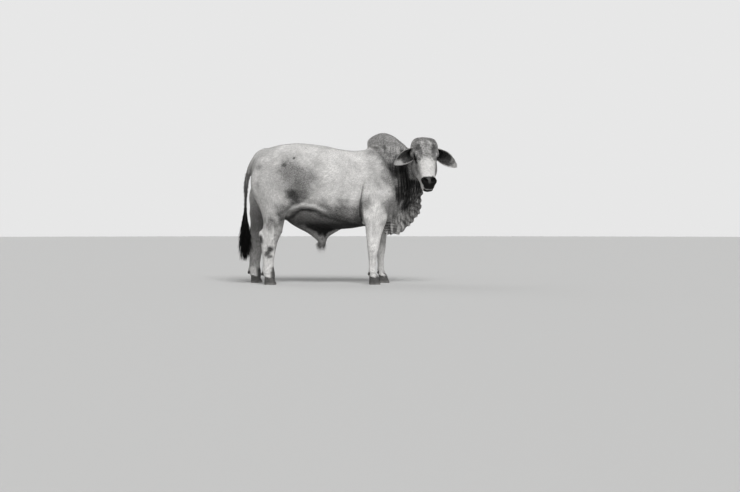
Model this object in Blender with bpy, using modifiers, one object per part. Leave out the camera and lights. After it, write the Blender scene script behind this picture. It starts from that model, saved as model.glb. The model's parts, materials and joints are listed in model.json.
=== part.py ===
"""A grey Brahman bull at life size, standing on four hooves with its head turned to its right.

Frame: +X is the bull's front, +Y its left and +Z up, in metres. Every form is placed in the body's
own frame, where y = 0 is the plane of its spine and z = 0 the floor. At the end all parts move by
-ORIGIN, which puts the origin on the floor under the middle of the bull.

The flesh is modelled whole: lofts and muscles are fused into one skin, relaxed, creased, thinned
out, and then parted into named pieces by thin curved cuts.
"""
import math
import random

import bmesh
import bpy
import numpy as np
from mathutils import Matrix, Vector

# Driving sizes
HEAD_SCALE = 1.05
HEAD_TURN = math.radians(-82)
HEAD_PITCH = math.radians(33)
HEAD_ROLL = math.radians(-1.3)
POLL = Vector((1.077, -0.180, 1.507))
GAP = 0.0003
SEAT = 1.2 * GAP
ORIGIN = Vector((0.277, -0.084, 0.0))

CORE_VOXEL = 0.012
SKIN_VOXEL = 0.0085
SKIN_TRIANGLES = 7000
THIN_CARE = 0.003
RING_POINTS = 28

# Trunk: x, top, bottom, half width, share of the height under the widest line, squareness
TRUNK = (
    (-0.700, 1.235, 1.000, 0.085, 0.50, 2.0),
    (-0.655, 1.325, 0.920, 0.150, 0.52, 2.0),
    (-0.580, 1.385, 0.840, 0.208, 0.54, 2.1),
    (-0.480, 1.420, 0.760, 0.245, 0.56, 2.2),
    (-0.360, 1.445, 0.715, 0.264, 0.52, 2.2),
    (-0.240, 1.455, 0.690, 0.282, 0.48, 2.1),
    (-0.120, 1.449, 0.650, 0.297, 0.46, 2.1),
    (0.000, 1.434, 0.600, 0.310, 0.46, 2.15),
    (0.120, 1.411, 0.563, 0.319, 0.45, 2.2),
    (0.240, 1.388, 0.560, 0.318, 0.45, 2.2),
    (0.360, 1.374, 0.572, 0.300, 0.46, 2.2),
    (0.460, 1.385, 0.590, 0.276, 0.47, 2.1),
    (0.560, 1.400, 0.600, 0.252, 0.48, 2.1),
    (0.660, 1.390, 0.610, 0.228, 0.48, 2.0),
    (0.760, 1.340, 0.640, 0.185, 0.48, 2.0),
    (0.830, 1.270, 0.700, 0.130, 0.48, 2.0),
)

# Hump, in the same columns: it leans back over the withers
HUMP = (
    (0.476, 1.470, 1.430, 0.020, 0.5, 2.0),
    (0.496, 1.498, 1.405, 0.052, 0.5, 2.0),
    (0.535, 1.526, 1.370, 0.076, 0.5, 2.1),
    (0.595, 1.556, 1.330, 0.092, 0.5, 2.2),
    (0.660, 1.564, 1.300, 0.097, 0.5, 2.2),
    (0.720, 1.553, 1.260, 0.094, 0.5, 2.2),
    (0.780, 1.526, 1.220, 0.090, 0.5, 2.1),
    (0.840, 1.477, 1.200, 0.086, 0.5, 2.0),
    (0.900, 1.425, 1.200, 0.078, 0.5, 2.0),
)

# Neck: x, y, heading in degrees, top, bottom, half width
NECK = (
    (0.640, 0.000, 0, 1.390, 0.720, 0.200),
    (0.740, 0.000, -4, 1.390, 0.740, 0.185),
    (0.830, -0.012, -14, 1.395, 0.800, 0.160),
    (0.905, -0.040, -28, 1.398, 0.920, 0.138),
    (0.970, -0.082, -45, 1.405, 1.040, 0.120),
    (1.020, -0.135, -62, 1.415, 1.130, 0.108),
)

# Dewlap: z, rear, front, middle in y, half thickness
DEWLAP = (
    (1.150, 0.940, 1.075, -0.115, 0.045),
    (1.060, 0.860, 1.088, -0.105, 0.050),
    (0.980, 0.820, 1.082, -0.085, 0.052),
    (0.900, 0.780, 1.062, -0.062, 0.052),
    (0.840, 0.740, 1.054, -0.045, 0.052),
    (0.780, 0.700, 1.054, -0.030, 0.050),
    (0.720, 0.670, 1.036, -0.020, 0.047),
    (0.665, 0.650, 0.988, -0.010, 0.044),
    (0.620, 0.645, 0.960, 0.000, 0.041),
    (0.570, 0.650, 0.905, 0.000, 0.036),
    (0.530, 0.655, 0.862, 0.000, 0.030),
    (0.500, 0.675, 0.820, 0.000, 0.018),
)
DEWLAP_FOLD = 0.062
DEWLAP_SWAY = 0.014

# Legs: z, rear, front, middle in y (right leg), half width in y
HIND_LEG = (
    (1.240, -0.640, -0.330, -0.130, 0.070),
    (1.140, -0.695, -0.285, -0.150, 0.105),
    (1.040, -0.707, -0.262, -0.165, 0.122),
    (0.940, -0.692, -0.268, -0.175, 0.122),
    (0.850, -0.650, -0.293, -0.182, 0.112),
    (0.770, -0.607, -0.314, -0.188, 0.098),
    (0.690, -0.577, -0.336, -0.192, 0.085),
    (0.610, -0.568, -0.354, -0.194, 0.072),
    (0.550, -0.585, -0.368, -0.195, 0.062),
    (0.500, -0.602, -0.386, -0.195, 0.058),
    (0.450, -0.597, -0.412, -0.195, 0.055),
    (0.400, -0.590, -0.426, -0.195, 0.050),
    (0.330, -0.583, -0.442, -0.195, 0.046),
    (0.250, -0.577, -0.453, -0.195, 0.043),
    (0.180, -0.576, -0.457, -0.195, 0.045),
    (0.135, -0.582, -0.450, -0.195, 0.053),
    (0.100, -0.570, -0.445, -0.195, 0.056),
    (0.070, -0.556, -0.448, -0.195, 0.061),
    (0.030, -0.556, -0.446, -0.195, 0.060),
)
FORE_LEG = (
    (0.950, 0.500, 0.760, -0.200, 0.070),
    (0.850, 0.470, 0.742, -0.192, 0.082),
    (0.750, 0.455, 0.716, -0.182, 0.085),
    (0.660, 0.456, 0.697, -0.175, 0.078),
    (0.600, 0.466, 0.674, -0.172, 0.070),
    (0.540, 0.471, 0.650, -0.170, 0.062),
    (0.480, 0.478, 0.632, -0.170, 0.056),
    (0.420, 0.485, 0.618, -0.170, 0.055),
    (0.360, 0.489, 0.606, -0.170, 0.056),
    (0.310, 0.497, 0.594, -0.170, 0.048),
    (0.250, 0.503, 0.582, -0.170, 0.038),
    (0.190, 0.505, 0.576, -0.170, 0.036),
    (0.140, 0.501, 0.578, -0.170, 0.043),
    (0.105, 0.505, 0.590, -0.170, 0.050),
    (0.075, 0.508, 0.607, -0.170, 0.059),
    (0.050, 0.508, 0.612, -0.170, 0.060),
    (0.030, 0.510, 0.612, -0.170, 0.058),
)
# How far the left legs stand behind or ahead of the right ones: z, step
HIND_STEP = ((0.0, -0.184), (0.20, -0.182), (0.35, -0.170), (0.50, -0.166), (0.62, -0.180),
             (0.72, -0.170), (0.85, -0.110), (1.00, -0.035), (1.15, 0.0))
FORE_STEP = ((0.0, 0.100), (0.20, 0.090), (0.45, 0.068), (0.60, 0.040), (0.80, 0.0))
LEG_SQUARE = 2.15
# The point of the right hock, and half the sizes of its bone
HOCK_POINT = Vector((-0.592, 0.195, 0.505))
HOCK_SIZE = (0.024, 0.026, 0.050)

# Skull, along the face from the poll: u, top, bottom, half width
SKULL = (
    (-0.015, -0.030, -0.120, 0.088),
    (0.015, -0.006, -0.160, 0.122),
    (0.065, 0.008, -0.180, 0.136),
    (0.130, 0.012, -0.180, 0.134),
    (0.190, 0.010, -0.170, 0.122),
    (0.250, 0.002, -0.150, 0.106),
    (0.320, -0.004, -0.130, 0.090),
    (0.390, -0.006, -0.115, 0.077),
    (0.450, -0.006, -0.105, 0.070),
    (0.498, -0.006, -0.100, 0.072),
    (0.540, -0.016, -0.098, 0.065),
    (0.570, -0.040, -0.092, 0.050),
)
JAW = (
    (0.060, -0.080, -0.200, 0.092),
    (0.150, -0.100, -0.262, 0.104),
    (0.220, -0.110, -0.272, 0.106),
    (0.300, -0.090, -0.254, 0.096),
    (0.380, -0.080, -0.222, 0.079),
    (0.460, -0.080, -0.188, 0.064),
    (0.520, -0.085, -0.166, 0.057),
    (0.558, -0.095, -0.148, 0.047),
)
SKULL_SQUARE = 2.6
JAW_SQUARE = 2.2

# Sheath: z, rear, front, middle in y, half thickness
SHEATH = (
    (0.690, -0.370, 0.300, 0.0, 0.080),
    (0.630, -0.330, 0.280, 0.0, 0.070),
    (0.575, -0.240, 0.240, 0.0, 0.058),
    (0.530, -0.145, 0.170, 0.0, 0.048),
    (0.480, -0.075, 0.092, 0.0, 0.042),
    (0.440, -0.030, 0.070, 0.0, 0.038),
    (0.405, 0.002, 0.056, 0.0, 0.032),
    (0.386, 0.016, 0.044, 0.0, 0.022),
)

# Tail: x, z and radius along its middle
TAIL_Y = -0.015
TAIL = (
    (-0.540, 1.370, 0.044),
    (-0.612, 1.346, 0.043),
    (-0.672, 1.282, 0.038),
    (-0.718, 1.206, 0.033),
    (-0.746, 1.115, 0.029),
    (-0.764, 1.010, 0.026),
    (-0.768, 0.900, 0.022),
    (-0.770, 0.800, 0.018),
    (-0.770, 0.730, 0.015),
)
SWITCH_TOP = 0.775
SWITCH_TIP = 0.225

# Head features in face coordinates: along the face, out to the side, out of the face
EYE = Vector((0.226, 0.096, -0.046))
EYE_RADIUS = 0.0235
LID = 0.0048
EYE_SLIT = (0.0225, 0.0150)
EYE_GAZE = Vector((0.10, 0.84, 0.53)).normalized()
NOSTRIL = Vector((0.525, 0.044, -0.016))
MOUTH = ((0.600, -0.102), (0.560, -0.094), (0.510, -0.091), (0.460, -0.098), (0.425, -0.112))
MOUTH_SLOT = 0.003

# Ears: the root, then the middle line's bend and tip as reach out, drop and reach ahead of the root
EAR_ROOT = Vector((0.124, 0.112, -0.100))
EAR_BEND = {"right": (0.108, 0.060, 0.030), "left": (0.105, 0.055, 0.0)}
EAR_TIP = {"right": (0.202, 0.132, 0.055), "left": (0.214, 0.136, 0.010)}
EAR_HALF_WIDTH = ((0.0, 0.052), (0.15, 0.060), (0.35, 0.066), (0.55, 0.061), (0.75, 0.045),
                  (0.90, 0.025), (1.0, 0.005))
EAR_SKIN = 0.008

CLAW_WIDTH = 0.056
CLAW_SPLIT = 0.006
DEWCLAW = (0.016, 0.013, 0.022)
DEWCLAW_HEIGHT = 0.112
DEWCLAW_LEAN = 28
DEWCLAW_SINK = 0.004
DEWCLAW_SPREAD = 0.024

# Feet of the right legs: middle of the claws, rear of the fetlock, way out from the spine
HIND_CLAW_X = -0.496
FORE_CLAW_X = 0.564
HIND_FETLOCK_X = -0.574
FORE_FETLOCK_X = 0.508
HIND_FOOT_Y = 0.195
FORE_FOOT_Y = 0.170
CORONET = 0.070
CORONET_SLOPE = 0.22
# One claw: z, rear and front of its middle, half width
CLAW = (
    (0.000, -0.055, 0.063, 0.0265),
    (0.010, -0.056, 0.061, 0.0278),
    (0.040, -0.054, 0.049, 0.0272),
    (0.070, -0.051, 0.038, 0.0260),
    (0.105, -0.046, 0.026, 0.0230),
)

# Cuts between the parts of the flesh, as (x, z) paths unless said otherwise
HUMP_CUT = ((0.400, 1.410), (0.490, 1.403), (0.580, 1.372), (0.680, 1.318), (0.800, 1.330),
            (0.900, 1.400), (0.925, 1.450))
NECK_CUT_TOP = (0.800, 1.330)
NECK_CUT_FOOT = (0.800, 0.700)
BRISKET_CUT = ((0.560, 0.585), (0.640, 0.612), (0.760, 0.660), (0.800, 0.700))
THROAT_CUT = ((0.800, 0.700), (0.870, 0.800), (0.950, 0.980), (1.020, 1.062), (1.180, 1.062))
HEAD_CUT = ((1.290, 0.140, 1.061), (1.120, 0.035, 1.061), (1.020, -0.045, 1.061),
            (0.945, -0.125, 0.965), (0.900, -0.290, 0.860))
TAIL_ROOT_CUT = ((-0.575, 1.440), (-0.603, 1.375), (-0.650, 1.275), (-0.692, 1.170), (-0.714, 1.080))
TAIL_MIDDLE = 1.020
SHEATH_CUT = 0.552
SCROTUM_CUT = 0.632
HOCK_CUT = 0.480
KNEE_CUT = 0.392

# The tail's locks: height of the roots, spread at the tips, height of the lowest tips, bow
SWITCH_TIERS = ((0.745, 0.034, 0.310, 0.006), (0.650, 0.066, 0.255, 0.018),
                (0.570, 0.085, 0.225, 0.024))
SWITCH_CORE = ((0.700, 0.0180), (0.620, 0.0220), (0.540, 0.0240), (0.490, 0.0100))
LOCK_WIDTH = (0.026, 0.034)
LOCK_THICKNESS = 0.011

# Where the middle of each parted piece of flesh lies
FLESH_NODES = {
    "torso": (0.05, 0.0, 0.98),
    "hump": (0.68, 0.0, 1.45),
    "neck": (0.92, -0.02, 1.10),
    "dewlap": (0.88, -0.04, 0.78),
    "head": (1.08, -0.28, 1.23),
    "tail_upper": (-0.70, -0.01, 1.20),
    "tail_lower": (-0.77, -0.01, 0.90),
    "sheath": (0.02, 0.0, 0.47),
    "scrotum": (-0.43, 0.0, 0.58),
    "leg_hind_right_upper": (-0.47, -0.20, 0.62),
    "leg_hind_left_upper": (-0.64, 0.20, 0.62),
    "leg_hind_right_lower": (-0.51, -0.20, 0.27),
    "leg_hind_left_lower": (-0.69, 0.20, 0.27),
    "leg_fore_right_upper": (0.58, -0.19, 0.56),
    "leg_fore_left_upper": (0.62, 0.19, 0.56),
    "leg_fore_right_lower": (0.55, -0.17, 0.22),
    "leg_fore_left_lower": (0.64, 0.17, 0.22),
}


# Colour and roughness of each surface, and the surface of each node by the start of its name
SURFACES = {
    "grey_hide": ((0.52, 0.51, 0.495), 0.75),
    "pale_hide": ((0.68, 0.67, 0.65), 0.75),
    "slate_hide": ((0.26, 0.255, 0.25), 0.72),
    "dark_hide": ((0.085, 0.082, 0.080), 0.70),
    "black_hair": ((0.018, 0.017, 0.016), 0.60),
    "hoof_horn": ((0.060, 0.056, 0.052), 0.45),
    "eye_surface": ((0.010, 0.008, 0.007), 0.06),
}
NODE_SURFACES = (
    ("torso", "grey_hide"),
    ("head", "grey_hide"),
    ("tail_switch", "black_hair"),
    ("tail", "grey_hide"),
    ("hump", "slate_hide"),
    ("dewlap", "slate_hide"),
    ("neck", "dark_hide"),
    ("leg", "pale_hide"),
    ("sheath", "pale_hide"),
    ("scrotum", "slate_hide"),
    ("ear", "grey_hide"),
    ("eye", "eye_surface"),
    ("claw", "hoof_horn"),
    ("dewclaw", "hoof_horn"),
)
SHARP_EDGE = math.radians(50)


def collection(name):
    """A new collection linked to the scene."""
    made = bpy.data.collections.new(name)
    bpy.context.scene.collection.children.link(made)
    return made


def material(name, colour, roughness):
    """A Principled material of one colour."""
    made = bpy.data.materials.new(name)
    made.use_nodes = True
    shader = made.node_tree.nodes["Principled BSDF"]
    shader.inputs["Base Color"].default_value = (*colour, 1.0)
    shader.inputs["Roughness"].default_value = roughness
    shader.inputs["Metallic"].default_value = 0.0
    return made


def mesh_object(name, points, faces, into):
    """A mesh object with its faces pointing out."""
    mesh = bpy.data.meshes.new(name)
    mesh.from_pydata([tuple(p) for p in points], [], faces)
    shape = bmesh.new()
    shape.from_mesh(mesh)
    bmesh.ops.recalc_face_normals(shape, faces=shape.faces)
    shape.to_mesh(mesh)
    shape.free()
    made = bpy.data.objects.new(name, mesh)
    into.objects.link(made)
    return made


def as_cutter(piece):
    """Marks an object as a construction shape."""
    piece.hide_render = True
    piece.display_type = "WIRE"
    return piece


def apply_modifiers(piece):
    """Swaps an object's mesh for its evaluated one."""
    bpy.context.view_layer.update()
    seen = piece.evaluated_get(bpy.context.evaluated_depsgraph_get())
    mesh = bpy.data.meshes.new_from_object(seen)
    piece.modifiers.clear()
    piece.data = mesh
    return piece


def boolean(piece, other, operation):
    """Applies one Boolean of two closed meshes; the thinned skin needs the MANIFOLD solver."""
    step = piece.modifiers.new(operation, "BOOLEAN")
    step.operation = operation
    step.object = other
    step.solver = "MANIFOLD"
    return apply_modifiers(piece)


def resample(stations, steps):
    """The stations with smooth ones between them, on a Catmull-Rom curve."""
    rows = np.array(stations, dtype=float)
    ends = np.vstack([2 * rows[0] - rows[1], rows, 2 * rows[-1] - rows[-2]])
    out = []
    for i in range(len(rows) - 1):
        a, b, c, d = ends[i:i + 4]
        for k in range(steps):
            t = k / steps
            curve = 2 * b + (c - a) * t
            curve = curve + (2 * a - 5 * b + 4 * c - d) * t ** 2
            curve = curve + (3 * b - a - 3 * c + d) * t ** 3
            out.append(curve / 2)
    out.append(rows[-1])
    return out


def between(table, at):
    """A value read off a table of rising (place, value) pairs."""
    places = [row[0] for row in table]
    values = [row[1] for row in table]
    return float(np.interp(at, places, values))


def oval(centre, right, up, half, high, low, square, count=RING_POINTS):
    """A ring of points on a superellipse with unlike upper and lower halves."""
    ring = []
    for i in range(count):
        a = 2 * math.pi * (i + 0.5) / count
        across = math.copysign(abs(math.cos(a)) ** (2 / square), math.cos(a)) * half
        rise = abs(math.sin(a)) ** (2 / square)
        rise = rise * high if math.sin(a) > 0 else -rise * low
        ring.append(centre + right * across + up * rise)
    return ring


def loft(rings):
    """A closed form through rings of equal count, as points and faces."""
    count = len(rings[0])
    points = [p for ring in rings for p in ring]
    faces = []
    for i in range(len(rings) - 1):
        for j in range(count):
            a = i * count + j
            b = i * count + (j + 1) % count
            faces.append((a, b, b + count, a + count))
    faces.append(tuple(range(count)))
    faces.append(tuple(range(len(points) - count, len(points))))
    return points, faces


def ball(centre, radii, tilt=(0, 0, 0), place=None, detail=(24, 14)):
    """An ellipsoid as points and faces; tilt is in degrees about x, y and z."""
    turn = Matrix.Identity(4)
    for axis, angle in zip("XYZ", tilt):
        turn = Matrix.Rotation(math.radians(angle), 4, axis) @ turn
    where = Matrix.Translation(centre) @ turn @ Matrix.Diagonal((*radii, 1.0))
    if place is not None:
        where = place @ where
    shape = bmesh.new()
    bmesh.ops.create_uvsphere(shape, u_segments=detail[0], v_segments=detail[1], radius=1.0,
                              matrix=where)
    points = [v.co.copy() for v in shape.verts]
    faces = [tuple(v.index for v in f.verts) for f in shape.faces]
    shape.free()
    return points, faces


def mirrored(form, step=None):
    """A form's twin on the bull's left; step moves its points along x by their height."""
    points, faces = form
    moved = []
    for p in points:
        shift = between(step, p[2]) if step else 0.0
        moved.append(Vector((p[0] + shift, -p[1], p[2])))
    return moved, faces


def joined(forms):
    """Several forms in one list of points and one of faces."""
    points, faces = [], []
    for form_points, form_faces in forms:
        start = len(points)
        points.extend(form_points)
        faces.extend(tuple(i + start for i in f) for f in form_faces)
    return points, faces


def head_frame():
    """The matrix from face coordinates to the body's frame."""
    ahead = Vector((math.cos(HEAD_TURN), math.sin(HEAD_TURN), 0))
    down = math.sin(HEAD_PITCH) * ahead - math.cos(HEAD_PITCH) * Vector((0, 0, 1))
    out = math.cos(HEAD_PITCH) * ahead + math.sin(HEAD_PITCH) * Vector((0, 0, 1))
    side = Vector((-math.sin(HEAD_TURN), math.cos(HEAD_TURN), 0))
    frame = Matrix((down, side, out)).transposed() @ Matrix.Rotation(HEAD_ROLL, 3, "Z")
    frame = frame.to_4x4()
    return Matrix.Translation(POLL) @ frame @ Matrix.Scale(HEAD_SCALE, 4)


HEAD = head_frame()
SIDES = (("right", -1), ("left", 1))


def upright_loft(stations):
    """A form through sections that stand across the spine."""
    rings = []
    for x, top, bottom, half, share, square in resample(stations, 3):
        middle = bottom + share * (top - bottom)
        centre = Vector((x, 0, middle))
        rings.append(oval(centre, Vector((0, 1, 0)), Vector((0, 0, 1)), half,
                          top - middle, middle - bottom, square))
    return loft(rings)


def level_loft(stations, square):
    """A form through level sections, such as a leg."""
    rings = []
    for z, rear, front, middle, half in resample(stations, 3):
        centre = Vector(((rear + front) / 2, middle, z))
        rings.append(oval(centre, Vector((1, 0, 0)), Vector((0, 1, 0)), (front - rear) / 2,
                          half, half, square))
    return loft(rings)


def neck_loft():
    """The neck, bent round to the bull's right."""
    rings = []
    for x, y, heading, top, bottom, half in resample(NECK, 4):
        turn = math.radians(heading)
        right = Vector((-math.sin(turn), math.cos(turn), 0))
        centre = Vector((x, y, (top + bottom) / 2))
        rise = (top - bottom) / 2
        rings.append(oval(centre, right, Vector((0, 0, 1)), half, rise, rise, 2.0))
    return loft(rings)


def dewlap_loft():
    """The thin hanging fold of the throat and brisket, swayed from side to side."""
    points, faces = level_loft(DEWLAP, 2.0)
    swayed = []
    for p in points:
        low = min(1.0, max(0.0, (1.10 - p[2]) / 0.30))
        lie = (p[0] * 0.90 + p[2] * 0.35) / DEWLAP_FOLD
        sway = DEWLAP_SWAY * low * math.sin(2 * math.pi * lie)
        swayed.append(Vector((p[0], p[1] + sway, p[2])))
    return swayed, faces


def face_loft(stations, square):
    """A form through sections across the face."""
    axes = HEAD.to_3x3()
    rings = []
    for u, top, bottom, half in resample(stations, 4):
        middle = (top + bottom) / 2
        rise = (top - bottom) / 2
        rings.append(oval(HEAD @ Vector((u, 0, middle)), axes @ Vector((0, 1, 0)),
                          axes @ Vector((0, 0, 1)), half, rise, rise, square))
    return loft(rings)


def tail_loft():
    """The tail's flesh, a tapering tube."""
    rows = resample(TAIL, 4)
    rings = []
    for i, (x, z, radius) in enumerate(rows):
        before = rows[max(i - 1, 0)]
        after = rows[min(i + 1, len(rows) - 1)]
        along = Vector((after[0] - before[0], 0, after[1] - before[1])).normalized()
        across = Vector((-along.z, 0, along.x))
        sink = between(((-0.77, TAIL_Y), (-0.60, 0.0)), x)
        rings.append(oval(Vector((x, sink, z)), across, Vector((0, 1, 0)), radius,
                          radius, radius, 2.0, 18))
    return loft(rings)


def core_forms():
    """The great masses that blend softly: trunk, hump, neck, shoulders and thighs."""
    forms = [upright_loft(TRUNK), upright_loft(HUMP), neck_loft()]
    thigh = level_loft(HIND_LEG[:9], LEG_SQUARE)
    arm = level_loft(FORE_LEG[:6], LEG_SQUARE)
    forms += [thigh, mirrored(thigh, HIND_STEP), arm, mirrored(arm, FORE_STEP)]
    for side in (-1, 1):
        forms.append(ball((0.620, side * 0.178, 1.075), (0.140, 0.080, 0.290), (0, -20, 0)))
        forms.append(ball((0.560, side * 0.198, 0.850), (0.125, 0.078, 0.140), (0, 25, 0)))
        forms.append(ball((0.720, side * 0.150, 0.900), (0.085, 0.080, 0.110)))
        forms.append(ball((-0.300, side * 0.160, 1.265), (0.150, 0.098, 0.130)))
        forms.append(ball((-0.560, side * 0.140, 1.210), (0.100, 0.085, 0.120)))
        forms.append(ball((-0.300, side * 0.215, 0.830), (0.130, 0.050, 0.085), (0, -32, 0)))
    return forms


def limb_forms():
    """The slender forms: lower legs, tail, dewlap, sheath and scrotum."""
    hind = level_loft(HIND_LEG[5:], LEG_SQUARE)
    fore = level_loft(FORE_LEG[2:], LEG_SQUARE)
    forms = [hind, mirrored(hind, HIND_STEP), fore, mirrored(fore, FORE_STEP)]
    forms += [tail_loft(), dewlap_loft(), level_loft(SHEATH, 2.0)]
    for side in (-1, 1):
        forms.append(ball((-0.430, side * 0.033, 0.575), (0.046, 0.040, 0.082)))
    forms.append(ball((-0.430, 0.0, 0.680), (0.036, 0.045, 0.100)))
    forms.append(ball((-0.385, 0.0, 0.725), (0.110, 0.075, 0.070)))
    for side in (-1, 1):
        step = between(HIND_STEP, HOCK_POINT.z) if side > 0 else 0.0
        forms.append(ball(HOCK_POINT * Vector((1, side, 1)) + Vector((step, 0, 0)), HOCK_SIZE))
    return forms


def head_forms():
    """Skull, jaw, cheeks, brows, muzzle pads and the roots of the ears, in place."""
    forms = [face_loft(SKULL, SKULL_SQUARE), face_loft(JAW, JAW_SQUARE)]
    for side in (-1, 1):
        forms.append(ball((0.255, side * 0.079, -0.150), (0.125, 0.044, 0.080), place=HEAD))
        forms.append(ball((0.215, side * 0.092, -0.040), (0.046, 0.028, 0.038), place=HEAD))
        forms.append(ball((0.515, side * 0.036, -0.044), (0.052, 0.040, 0.044), place=HEAD))
        forms.append(ball((0.430, side * 0.046, -0.092), (0.060, 0.026, 0.040), place=HEAD))
        forms.append(ball((0.138, side * 0.112, -0.096), (0.046, 0.036, 0.040), place=HEAD))
    forms.append(ball((0.020, 0.0, -0.090), (0.060, 0.090, 0.070), place=HEAD))
    return forms


def fuse(name, forms, voxel, into):
    """One closed skin round overlapping forms."""
    points, faces = joined(forms)
    piece = mesh_object(name, points, faces, into)
    step = piece.modifiers.new("Fuse", "REMESH")
    step.mode = "VOXEL"
    step.voxel_size = voxel
    return apply_modifiers(piece)


def read_points(piece):
    """An object's points as an array."""
    points = np.empty(len(piece.data.vertices) * 3, dtype=np.float32)
    piece.data.vertices.foreach_get("co", points)
    return points.reshape(-1, 3).astype(float)


def write_points(piece, points):
    """Puts an array back as an object's points."""
    piece.data.vertices.foreach_set("co", points.astype(np.float32).ravel())
    piece.data.update()


def read_normals(piece):
    """The normals at an object's points."""
    normals = np.empty(len(piece.data.vertices) * 3, dtype=np.float32)
    piece.data.vertex_normals.foreach_get("vector", normals)
    return normals.reshape(-1, 3).astype(float)


def relax(piece, rounds, weight=None):
    """Draws each point towards the mean of its neighbours, where weight says so."""
    points = read_points(piece)
    edges = np.empty(len(piece.data.edges) * 2, dtype=np.int32)
    piece.data.edges.foreach_get("vertices", edges)
    a, b = edges.reshape(-1, 2).T
    count = len(points)
    degree = np.bincount(a, minlength=count) + np.bincount(b, minlength=count)
    share = 0.5 if weight is None else 0.5 * weight(points)[:, None]
    for _ in range(rounds):
        total = np.empty_like(points)
        for k in range(3):
            total[:, k] = np.bincount(a, points[b, k], count) + np.bincount(b, points[a, k], count)
        points = points + share * (total / degree[:, None] - points)
    write_points(piece, points)


def soft_step(value, low, high):
    """0 below low, 1 above high, smooth between."""
    t = np.clip((value - low) / (high - low), 0.0, 1.0)
    return t * t * (3 - 2 * t)


def near_path(points, path):
    """How far each point of the (x, z) plane lies from a path, and how far along it."""
    best = np.full(len(points), 1e9)
    along = np.zeros(len(points))
    path = np.array(path, dtype=float)
    for i in range(len(path) - 1):
        step = path[i + 1] - path[i]
        t = np.clip(((points - path[i]) @ step) / (step @ step), 0.0, 1.0)
        away = np.linalg.norm(points - path[i] - t[:, None] * step, axis=1)
        closer = away < best
        best[closer] = away[closer]
        along[closer] = (i + t[closer]) / (len(path) - 1)
    return best, along


def crease(points, normals, path, width, depth, side):
    """Sinks a furrow with raised lips along a path drawn on one flank."""
    flank = points[:, 1] * side > 0.01
    away, along = near_path(points[:, [0, 2]], path)
    fade = np.sin(np.pi * along) ** 0.8
    facing = np.clip(normals[:, 1] * side * 1.6, 0.0, 1.0)
    dip = np.exp(-(away / width) ** 2) - 0.35 * np.exp(-((away - 2 * width) / width) ** 2)
    points -= normals * (depth * dip * fade * facing * flank)[:, None]


def neck_folds(side):
    """Paths of the long pleats down the side of the neck."""
    paths = []
    for i in range(6):
        top = 0.800 + 0.030 * i
        sag = 0.018 * i
        paths.append(((top, 1.260 - 0.012 * i), (top + 0.030, 1.120), (top + 0.048, 0.980),
                      (top + 0.050 - sag * 0.4, 0.850), (top + 0.030 - sag, 0.740)))
    return paths if side < 0 else paths[1::2]


def sculpt(piece):
    """Creases of the shoulder, elbow, flank, hump and neck."""
    points = read_points(piece)
    normals = read_normals(piece)
    for side in (-1, 1):
        crease(points, normals, ((0.50, 1.405), (0.57, 1.385), (0.63, 1.345), (0.69, 1.28)),
               0.014, 0.016, side)
        crease(points, normals, ((0.455, 1.00), (0.425, 0.86), (0.430, 0.75), (0.445, 0.64)),
               0.011, 0.012, side)
        crease(points, normals, ((0.66, 1.30), (0.73, 1.19), (0.775, 1.06), (0.80, 0.90)),
               0.020, 0.012, side)
        crease(points, normals, ((-0.20, 0.86), (-0.27, 0.79), (-0.33, 0.72)), 0.022, 0.012, side)
        crease(points, normals, ((-0.60, 1.16), (-0.635, 1.02), (-0.61, 0.88)), 0.030, 0.007, side)
        for path in neck_folds(side):
            crease(points, normals, path, 0.0115, 0.010, side)
    write_points(piece, points)


def fineness(points):
    """How much finer the thinned skin stays: most on the head, then neck and feet."""
    head = np.array(HEAD.inverted())
    face = points @ head[:3, :3].T + head[:3, 3]
    near = np.linalg.norm(face - np.array([0.27, 0.0, -0.08]), axis=1)
    on_head = 1 - soft_step(near, 0.28, 0.38)
    on_neck = soft_step(points[:, 0], 0.72, 0.82) * 0.55
    on_feet = (1 - soft_step(points[:, 2], 0.55, 0.75)) * 0.25
    return np.maximum(np.maximum(on_head, on_neck), on_feet)


def thin_out(piece, triangles):
    """Collapses the skin to a few thousand triangles, the finest on the head."""
    group = piece.vertex_groups.new(name="Coarse")
    weights = 1.0 - 0.9 * fineness(read_points(piece))
    for level in range(11):
        share = level / 10
        members = np.nonzero(np.round(weights * 10) == level)[0]
        group.add(members.tolist(), share, "REPLACE")
    piece.data.calc_loop_triangles()
    step = piece.modifiers.new("Thin", "DECIMATE")
    step.ratio = triangles / len(piece.data.loop_triangles)
    step.vertex_group = group.name
    step.vertex_group_factor = THIN_CARE
    apply_modifiers(piece)


def body_skin(work):
    """The whole flesh as one closed skin."""
    core = fuse("core", core_forms(), CORE_VOXEL, work)
    relax(core, 22)
    core_faces = [tuple(f.vertices) for f in core.data.polygons]
    core_form = ([Vector(p) for p in read_points(core)], core_faces)
    bpy.data.objects.remove(core)
    skin = fuse("skin", [core_form] + limb_forms() + head_forms(), SKIN_VOXEL, work)
    relax(skin, 4)
    relax(skin, 14, lambda p: soft_step(p[:, 2], 0.50, 0.66) * (1 - soft_step(p[:, 0], 0.80, 0.90)))
    sculpt(skin)
    relax(skin, 1)
    return skin


def cut_box(name, slope, centre, above, work):
    """A big block whose lower or upper face is the sloping coronet plane through a foot."""
    size = 0.30
    block = bmesh.new()
    bmesh.ops.create_cube(block, size=size)
    mesh = bpy.data.meshes.new(name)
    block.to_mesh(mesh)
    block.free()
    made = bpy.data.objects.new(name, mesh)
    work.objects.link(made)
    turn = Matrix.Rotation(-math.atan(slope), 4, "Y")
    rise = size / 2 - GAP / 2
    lift = Matrix.Translation((0, 0, rise if above else -rise))
    made.matrix_world = Matrix.Translation(centre) @ turn @ lift
    return as_cutter(made)


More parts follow.
